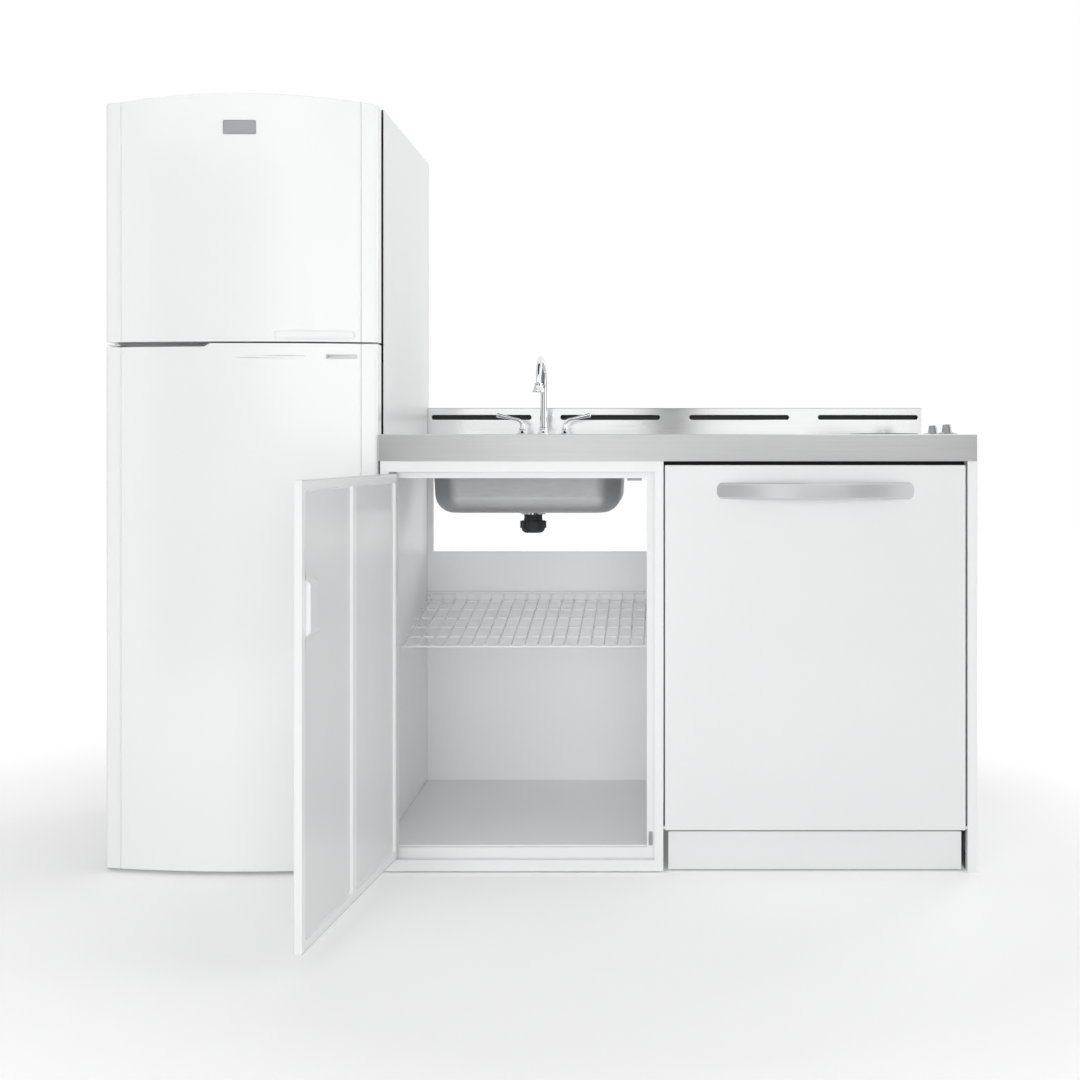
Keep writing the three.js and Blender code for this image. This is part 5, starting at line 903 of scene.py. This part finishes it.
# Painted shade: the faces inside the slots' pockets get the black paint, for the dark seen through
# them.
guard.data.materials.append(black_paint_and_slot_shade)
guard.data.materials.append(hem_painted_reflection)
SHADED_POCKET_FACE, PAINTED_HEM_FACE = 1, 2
pocket_low, pocket_high = at(0, GUARD_FRONT + 1.6, 931), at(0, WORKTOP_DEPTH - 1, 945)
hem_edge = at(0, GUARD_FRONT + 3, GUARD_TOP - 1.6)
# Pocket faces take the painted shade; faces along the top hem take the painted dark reflection.
for face in guard.data.polygons:
    y, z = face.center.yz
    if pocket_low.y < y < pocket_high.y and pocket_low.z < z < pocket_high.z:
        face.material_index = SHADED_POCKET_FACE
    elif z > hem_edge.z and y < hem_edge.y:
        face.material_index = PAINTED_HEM_FACE

# ----------------------------------------
# The sink: a bowl drawn in one press stroke from thin stainless sheet, round at every corner, with
# its rim welded under the worktop. A strainer body is clamped in its floor with a basket inside.
BOWL_BOTTOM, BOWL_RIM, BOWL_DRAFT, BOWL_FLANGE = 726.0, 890.4, 9.0, 14.0
DRAIN_X, DRAIN_Y = 290.0, 277.5
bowl_width, bowl_depth = SINK_RIGHT - SINK_LEFT, SINK_BACK - SINK_FRONT
bowl_high = at(SINK_RIGHT, SINK_BACK, BOWL_RIM)
bowl = block("sink_basin", at(SINK_LEFT, SINK_FRONT, BOWL_BOTTOM), bowl_high)


def spread(margin, z):
    """In edit mode, widens what is chosen of the bowl by a margin at every side."""
    scale = ((bowl_width + 2 * margin) / bowl_width, (bowl_depth + 2 * margin) / bowl_depth, 1)
    resize(scale, at(DRAIN_X, DRAIN_Y, z))


with editing(bowl):
    choose(bowl, "FACE", facing(UPWARD))
    bpy.ops.mesh.delete(type="FACE")
    choose(bowl, "FACE", facing(DOWNWARD))
    spread(-BOWL_DRAFT, BOWL_BOTTOM)
    bevel_edges(bowl, 0.055, 10, upright)
    floor_edge, rim_edge = BOWL_BOTTOM / 1000 + 2 * NEAR, BOWL_RIM / 1000 - NEAR
    bevel_edges(
        bowl, 0.036, 8, lambda middle, along: middle.z < floor_edge and abs(along.z) < 0.2
    )
    choose(bowl, "EDGE", lambda middle, along: middle.z > rim_edge)
    extrude()
    spread(BOWL_FLANGE, BOWL_RIM)
thicken(bowl, 0.0012, side=1)
drain = at(DRAIN_X, DRAIN_Y, BOWL_BOTTOM)
combine(bowl, "DIFFERENCE", barrel("drain_hole", drain, 28.3, 20, sides=64))
shade(bowl, 50)
sink_stainless = brushed(
    "sink_stainless", (0.56, 0.59, 0.61), (0.46, 0.49, 0.51), (40.0, 40.0, 260.0), 0.00003,
    gloss=(0.34, 0.48), Metallic=1.0
)
fit(bowl, sink_stainless, "unit", "sink_steel", "sink_bowl")


def turned(name, x, y, profile, sides=48):
    """A round piece along a profile of radii and heights; a closed profile makes a ring."""
    (radius, z), *onward = profile
    closed = profile[0] == profile[-1]
    bpy.ops.mesh.primitive_circle_add(
        vertices=sides,
        radius=radius / 1000,
        fill_type="NOTHING" if closed else "NGON",
        location=at(x, y, z),
    )
    piece = place(name)
    with editing(piece):
        choose_all()
        for next_radius, next_z in onward:
            extrude((next_z - z) / 1000)
            resize((next_radius / radius, next_radius / radius, 1), at(x, y, next_z))
            radius, z = next_radius, next_z
        weld()
        bpy.ops.mesh.normals_make_consistent(inside=False)
    return piece


polished_chrome = sprayed(
    "polished_chrome", (0.82, 0.83, 0.84), (0.78, 0.79, 0.8), (0.02, 0.06), 0.00001, peel=60.0,
    Metallic=1.0
)
strainer = turned(
    "strainer_body", DRAIN_X, DRAIN_Y,
    [(18.5, 715.8), (28, 715.8), (28, 725.9), (42, 726.05), (41.4, 727.4), (40, 728), (30, 727.6),
     (27.4, 726.9), (26.5, 725), (26.5, 718.5), (25, 717.8), (18.5, 717.8), (18.5, 715.8)],
    sides=64,
)
shade(strainer)
fit(strainer, polished_chrome, "unit", "chrome", "drain_flange")
basket = turned(
    "basket_cup", DRAIN_X, DRAIN_Y,
    [(3, 720), (22.2, 720), (25.2, 728.4), (30.5, 728.4), (30.5, 729.4), (24.4, 729.4),
     (21.2, 721.2), (5, 721.2), (4, 724), (4.6, 731), (6.4, 733.5), (6.6, 735.5), (5.2, 737),
     (2, 737)],
)
HOLE_RING = 14.0
holes = []
for step in range(12):
    a = math.radians(30 * step)
    hub = at(DRAIN_X + HOLE_RING * math.cos(a), DRAIN_Y + HOLE_RING * math.sin(a), 720.6)
    holes.append(barrel("hole", hub, 2.2, 6, sides=16))
combine(basket, "DIFFERENCE", *holes)
shade(basket)
fit(basket, polished_chrome, "unit", "chrome", "strainer_basket")
moulded_black = sprayed(
    "moulded_black", (0.018, 0.019, 0.021), (0.03, 0.031, 0.034), (0.4, 0.55), 0.00006, peel=900.0
)
tail = turned(
    "tail_piece", DRAIN_X, DRAIN_Y,
    [(17.5, 689.5), (20.5, 689.5), (20.5, 708), (19.5, 709), (19.5, 710), (20.5, 711),
     (20.5, 715.5), (17.5, 715.5), (17.5, 689.5)],
)
shade(tail)
fit(tail, moulded_black, "unit", "drain_black", "drain_tailpiece")
nut = turned(
    "slip_nut", DRAIN_X, DRAIN_Y,
    [(15.5, 674.5), (19, 674.5), (23.5, 677.5), (25, 680), (26, 684.5), (26, 700.5), (25, 701.5),
     (20.8, 701.5), (20.8, 689.2), (15.5, 689.2), (15.5, 674.5)],
)
wing = block("wing", at(313, 275, 684.5), at(319, 280, 700.5))
wings = [wing]
for step in range(1, 8):
    only(wing)
    bpy.ops.object.duplicate()
    wings.append(bpy.context.object)
    with editing(wings[-1]):
        choose_all()
        bpy.ops.transform.rotate(
            value=math.radians(45 * step),
            orient_axis="Z",
            center_override=at(DRAIN_X, DRAIN_Y, 690),
        )
combine(nut, "UNION", *wings)
soften(nut, 0.0006)
fit(nut, moulded_black, "unit", "drain_black", "drain_nut")

# ----------------------------------------
# The faucet: chromed brass. Two valves with long lever handles stand either side of a gooseneck
# spout, which swivels in its base and ends in a bell-shaped aerator.
base = turned(
    "spout_escutcheon", FAUCET_X, FAUCET_Y,
    [(8, 854), (8, 891.9), (15.5, 892.1), (15.5, 893.4), (14.8, 894.4), (13.4, 895), (13.8, 896.4),
     (12.6, 899.2), (10.8, 902), (9.9, 904.4), (9.6, 906.6), (10.8, 907.6), (10.8, 909.4),
     (9.8, 910.6), (9, 911)],
)
shade(base, 40)
fit(base, polished_chrome, "unit", "chrome", "spout_base")
BEND, BEND_Z = 70.0, 1002.0
neck = [at(FAUCET_X, FAUCET_Y, z) for z in (911.2, 930, 955, 980, BEND_Z)]
neck += [
    at(FAUCET_X, FAUCET_Y - BEND + BEND * math.cos(a), BEND_Z + BEND * math.sin(a))
    for a in (math.radians(6 * step) for step in range(1, 31))
]
neck.append(at(FAUCET_X, FAUCET_Y - 2 * BEND, 997))
taper = [1 - 0.25 * i / (len(neck) - 1) for i in range(len(neck))]
spout = bar("gooseneck", neck, 8, sides=32, radii=taper)
collar = turned(
    "collar", FAUCET_X, FAUCET_Y,
    [(8.2, 911.1), (9.4, 912.2), (9.4, 914.4), (8.2, 915.4)],
    sides=32,
)
combine(spout, "UNION", collar)
shade(spout, 40)
fit(spout, polished_chrome, "spout", "chrome", "faucet_spout")
outlet = turned(
    "aerator_bell", FAUCET_X, FAUCET_Y - 2 * BEND,
    [(10.8, 993), (11.2, 990.8), (13.8, 990.8), (14, 991.6), (13.9, 993.6), (12.6, 996.4),
     (11, 1000.4), (9.8, 1004), (9.2, 1007), (9.9, 1008.4), (9.9, 1010), (9, 1011.4),
     (7.2, 1012.6)],
)
shade(outlet, 40)
fit(outlet, polished_chrome, "spout", "chrome", "aerator")

for side, outward in (("left", -1), ("right", 1)):
    x = FAUCET_X + outward * VALVE_REACH
    valve = turned(
        f"{side}_valve_escutcheon", x, FAUCET_Y,
        [(8, 854), (8, 891.9), (16, 892.1), (16, 893.6), (15.2, 895), (13.2, 896.2), (13.4, 897.4),
         (11.6, 899.6), (9.6, 901.4), (8.4, 903), (7.6, 905)],
    )
    shade(valve, 40)
    fit(valve, polished_chrome, "unit", "chrome", f"{side}_valve_body")
    reach = [
        (0, 905.3), (0, 908), (0, 911), (0, 914), (0.6, 919), (2, 923), (5, 927), (9, 929.4),
        (14, 931), (20, 932.2), (28, 934), (39, 937), (48, 939), (54, 940.4), (57.5, 941),
        (60, 941.4), (61.5, 941.6), (62.3, 941.7),
    ]
    thick = [
        1.15, 1.3, 1.15, 0.9, 0.75, 0.72, 0.7, 0.66, 0.6, 0.58, 0.62, 0.72, 0.82, 0.9, 1.0, 0.92,
        0.66, 0.3,
    ]
    line = [at(x + outward * out, FAUCET_Y, z) for out, z in reach]
    lever = bar(f"{side}_lever_arm", line, 6, sides=24, radii=thick)
    shade(lever, 50)
    fit(lever, polished_chrome, f"{side}_handle", "chrome", f"{side}_lever")

# ----------------------------------------
# The hob: two spiral elements of sheathed wire on three-armed supports, each in a chromed drip pan
# over a galvanised box, and two knobs whose shafts come up from switches under the worktop.
sheathed_wire = sprayed(
    "sheathed_wire", (0.02, 0.02, 0.021), (0.045, 0.042, 0.04), (0.5, 0.72), 0.00008, peel=700.0,
    Metallic=0.4
)
for position, y in BURNER_ROWS.items():
    pan = turned(
        f"{position}_reflector_pan", BURNER_X, y,
        [(26, 861), (50, 864.4), (72, 873), (82, 879.8), (92.4, 880), (93, 881), (93, 891.9),
         (100, 892.1), (100.2, 892.7), (99.6, 893), (93.4, 893), (92, 892), (91.8, 881.4),
         (82, 881), (72, 874.8), (50, 866), (26, 862.4), (26, 861)],
        sides=96,
    )
    notch = block("notch", at(956, y - 17.5, 869), at(990, y + 17.5, 890.8))
    combine(pan, "DIFFERENCE", notch)
    shade(pan, 40)
    fit(pan, polished_chrome, "unit", "chrome", f"{position}_drip_pan")
    support, arms = f"{position}_element_support", f"{position}_support_arms"
    dressed(support, arms, 0.0003, polished_chrome, "unit", "chrome")
    element = copy_of(f"{position}_coil_element", f"{position}_spiral")
    with editing(element):
        weld()
    modify(element, "SUBSURF", levels=1, render_levels=1)
    modify(element, "DISPLACE", strength=0.0004, mid_level=0)
    shade(element, 60)
    fit(element, sheathed_wire, "unit", "element_black", f"{position}_coil_element")
dressed("burner_box", "burner_tray", 0.0005, galvanised_sheet, "unit", "galvanised")
clad(moulded_black, "front_switch", "rear_switch")

GRIP_TOP = 914.0
knob_metal = brushed(
    "knob_metal", (0.42, 0.43, 0.44), (0.34, 0.35, 0.36), (300.0, 300.0, 300.0), 0.00002,
    gloss=(0.22, 0.32), Metallic=0.8
)
for position, y in KNOB_ROWS.items():
    knob = turned(
        f"{position}_control_knob", KNOB_X, y,
        [(22.6, 892.3), (23, 893), (22.4, 894), (20, 895.2), (16, 896.4), (10, 897.3), (5, 897.5)],
        sides=64,
    )
    grip = block("grip", at(KNOB_X - 8.5, y - 19, 893.4), at(KNOB_X + 8.5, y + 19, GRIP_TOP))
    with editing(grip):
        choose(grip, "FACE", facing(UPWARD))
        resize((0.62, 0.94, 1), at(KNOB_X, y, GRIP_TOP))
        bevel_edges(grip, 0.005, 5, lambda middle, along: abs(along.z) > 0.6)
        bevel_edges(grip, 0.002, 4, lambda middle, along: middle.z > at(0, 0, GRIP_TOP - 0.2).z)
    combine(knob, "UNION", grip)
    soften(knob, 0.0008, 3)
    fit(knob, knob_metal, f"{position}_control", "grey_knob", f"{position}_knob")

# ----------------------------------------
# The built-in dishwasher: a stainless tub on a galvanised base, a white steel door that folds down
# about its bottom edge, and a kick plate set back under it.
# Painted shade: a black strip set behind the gaps round the dishwasher door, for the dark in them.
gap_shade_strip = block("gap_shade_strip", at(580.4, 27, 90), at(1197.4, 33, 836.6))
combine(gap_shade_strip, "DIFFERENCE", block("bay", at(589.4, 20, 80), at(1189.2, 40, 812)))
with editing(gap_shade_strip):
    choose(gap_shade_strip, "FACE", facing(FORWARD))
    bpy.ops.mesh.inset(thickness=0.002, depth=-0.001)
soften(gap_shade_strip, 0.0005)
gap_shade_black = sprayed(
    "gap_shade_black", (0.012, 0.012, 0.013), (0.02, 0.02, 0.021), (0.7, 0.85), 0.00004, peel=1400.0
)
fit(gap_shade_strip, gap_shade_black, "unit", "drain_black")

front = open_shell("front_sheet", at(583, 2, 86), at(1195, 22, 829), BACKWARD, 0.0018, 0.001)
pivots = [barrel("pivot", at(x, 7, 91), 3, 10, axis="X", sides=24) for x in (579, 1200)]
front = unite("dishwasher_front", [front, *pivots])
shade(front)
fit(front, door_paint, "dishwasher_door", "white_paint", "dishwasher_door_panel")
kick = open_shell("kick_panel", at(590, 14, 3), at(1189, 60, 81), BACKWARD, 0.0015, 0.0012)
shade(kick)
fit(kick, door_paint, "unit", "white_paint", "kick_plate")
for node, name, body in (
    ("dishwasher_door_liner", "dishwasher_inner_door", "dishwasher_door"),
    ("dishwasher_tub", "wash_tub", "unit"),
):
    dressed(node, name, 0.0003, brushed_stainless, body, "brushed_steel")
dressed("dishwasher_base", "tub_base", 0.0003, galvanised_sheet, "unit", "galvanised")

# ----------------------------------------
# The lower rack: two hoops of thick wire joined by thinner wires bent up at both ends, with rows of
# tines for plates and four plastic shoes on the tub's rails, all dipped in white plastic.
RACK_LEFT, RACK_RIGHT, RACK_FRONT, RACK_BACK = 606.0, 1173.0, 72.0, 528.0
RACK_LOW, RACK_TOP, RACK_CORNER = 170.3, 280.3, 14.0
LONG_PITCH, CROSS_PITCH = 47.25, 57.0


def hoop(name, z):
    """A rectangle of wire with round corners, its ends meeting in the middle of the front."""
    middle = (RACK_LEFT + RACK_RIGHT) / 2
    line = [at(middle + 0.05, RACK_FRONT, z)]
    for x, y, start in (
        (RACK_RIGHT - RACK_CORNER, RACK_FRONT + RACK_CORNER, -90),
        (RACK_RIGHT - RACK_CORNER, RACK_BACK - RACK_CORNER, 0),
        (RACK_LEFT + RACK_CORNER, RACK_BACK - RACK_CORNER, 90),
        (RACK_LEFT + RACK_CORNER, RACK_FRONT + RACK_CORNER, 180),
    ):
        for step in range(0, 91, 18):
            a = math.radians(start + step)
            line.append(at(x + RACK_CORNER * math.cos(a), y + RACK_CORNER * math.sin(a), z))
    return bar(name, [*line, at(middle - 0.05, RACK_FRONT, z)], 2)


long_bends = [(75, 281), (75, 181), (76.5, 176.5), (81, 174)]
long_wires = bar(
    "long_wires",
    [at(RACK_LEFT + LONG_PITCH, y, z) for y, z in long_bends]
    + [at(RACK_LEFT + LONG_PITCH, RACK_FRONT + RACK_BACK - y, z) for y, z in reversed(long_bends)],
    1.6,
    sides=10,
)
repeat(long_wires, 11, (LONG_PITCH / 1000, 0, 0))
cross_bends = [(609, 281), (609, 184), (610.5, 179.5), (615, 177)]
cross_y = RACK_FRONT + CROSS_PITCH
cross_wires = bar(
    "cross_wires",
    [at(x, cross_y, z) for x, z in cross_bends]
    + [at(RACK_LEFT + RACK_RIGHT - x, cross_y, z) for x, z in reversed(cross_bends)],
    1.6,
    sides=10,
)
repeat(cross_wires, 7, (0, CROSS_PITCH / 1000, 0))
tines = bar("tines", [at(RACK_LEFT + 70.9, 136, 176), at(RACK_LEFT + 70.9, 150, 236)], 1.5, sides=8)
repeat(tines, 10, (LONG_PITCH / 1000, 0, 0))
repeat(tines, 6, (0, CROSS_PITCH / 1000, 0))
shoes = []
for low_x, high_x in ((RACK_LEFT - 11, RACK_LEFT), (RACK_RIGHT, RACK_RIGHT + 11)):
    for y in (RACK_FRONT + 40, RACK_BACK - 40):
        shoe = block("shoe", at(low_x, y - 12, 168.3), at(high_x, y + 12, 171.3))
        with editing(shoe):
            bevel_edges(shoe, 0.004, 4, upright)
        shoes.append(shoe)
hoops = [hoop("low_hoop", RACK_LOW), hoop("top_hoop", RACK_TOP)]
rack = unite("wire_basket", [*hoops, long_wires, cross_wires, tines, *shoes])
shade(rack)
fit(rack, dipped_wire, "unit", "white_plastic", "lower_rack")

# ----------------------------------------
# The spray arm: a hollow blade moulded of grey plastic. It sits on a post under the rack, and
# the wash water turns it.
moulded_grey = sprayed(
    "moulded_grey", (0.26, 0.28, 0.3), (0.22, 0.24, 0.26), (0.45, 0.6), 0.00004, peel=900.0
)
dressed("spray_arm", "spray_arm_shell", 0.0015, moulded_grey, "spray_arm", "spray_grey", segments=3)

# ----------------------------------------
# The dishwasher's handle: a bar bowed out from the door like a crescent, moulded and sprayed
# silver grey, screwed on through its two flattened ends.
HANDLE_X, HANDLE_Z, HANDLE_HALF, HANDLE_BOW = 889.5, 777.0, 201.0, 45.0
HANDLE_HEIGHT, HANDLE_THICKNESS = 33.0, 15.0
outer_radius = (HANDLE_HALF**2 + HANDLE_BOW**2) / (2 * HANDLE_BOW)
handle_hub = at(HANDLE_X, 2 - HANDLE_BOW + outer_radius, HANDLE_Z)
sweep = math.asin(HANDLE_HALF / outer_radius) * 1.12
bpy.ops.mesh.primitive_plane_add(
    size=1,
    location=handle_hub - Vector((0, (outer_radius - HANDLE_THICKNESS / 2) / 1000, 0)),
    rotation=(0, math.radians(90), 0),
)
bpy.context.object.scale = (HANDLE_HEIGHT / 1000, HANDLE_THICKNESS / 1000, 1)
handle = place("silver_handle")
with editing(handle):
    choose_all()
    bpy.ops.mesh.bevel(offset=0.0042, segments=4, affect="VERTICES")
    choose_all()
    bpy.ops.transform.rotate(
        value=-sweep, orient_axis="Z", center_override=handle_hub, orient_type="GLOBAL"
    )
    bpy.ops.mesh.spin(steps=56, angle=2 * sweep, center=handle_hub, axis=(0, 0, 1))
    weld()
    bpy.ops.mesh.normals_make_consistent(inside=False)
trim(handle, at(0, 1.9, 0), (0, 1, 0))
half, high = HANDLE_HALF - 0.4, HANDLE_HEIGHT / 2 + 1.5
outline = block(
    "outline", at(HANDLE_X - half, -80, HANDLE_Z - high), at(HANDLE_X + half, 40, HANDLE_Z + high)
)
with editing(outline):
    bevel_edges(outline, 0.015, 8, deep)
combine(handle, "INTERSECT", outline)
shade(handle, 50)
silver_spray = sprayed(
    "silver_spray", (0.62, 0.63, 0.64), (0.58, 0.59, 0.6), (0.22, 0.28), 0.00001, peel=700.0,
    Metallic=0.3
)
fit(handle, silver_spray, "dishwasher_door", "grey_bar", "dishwasher_handle")
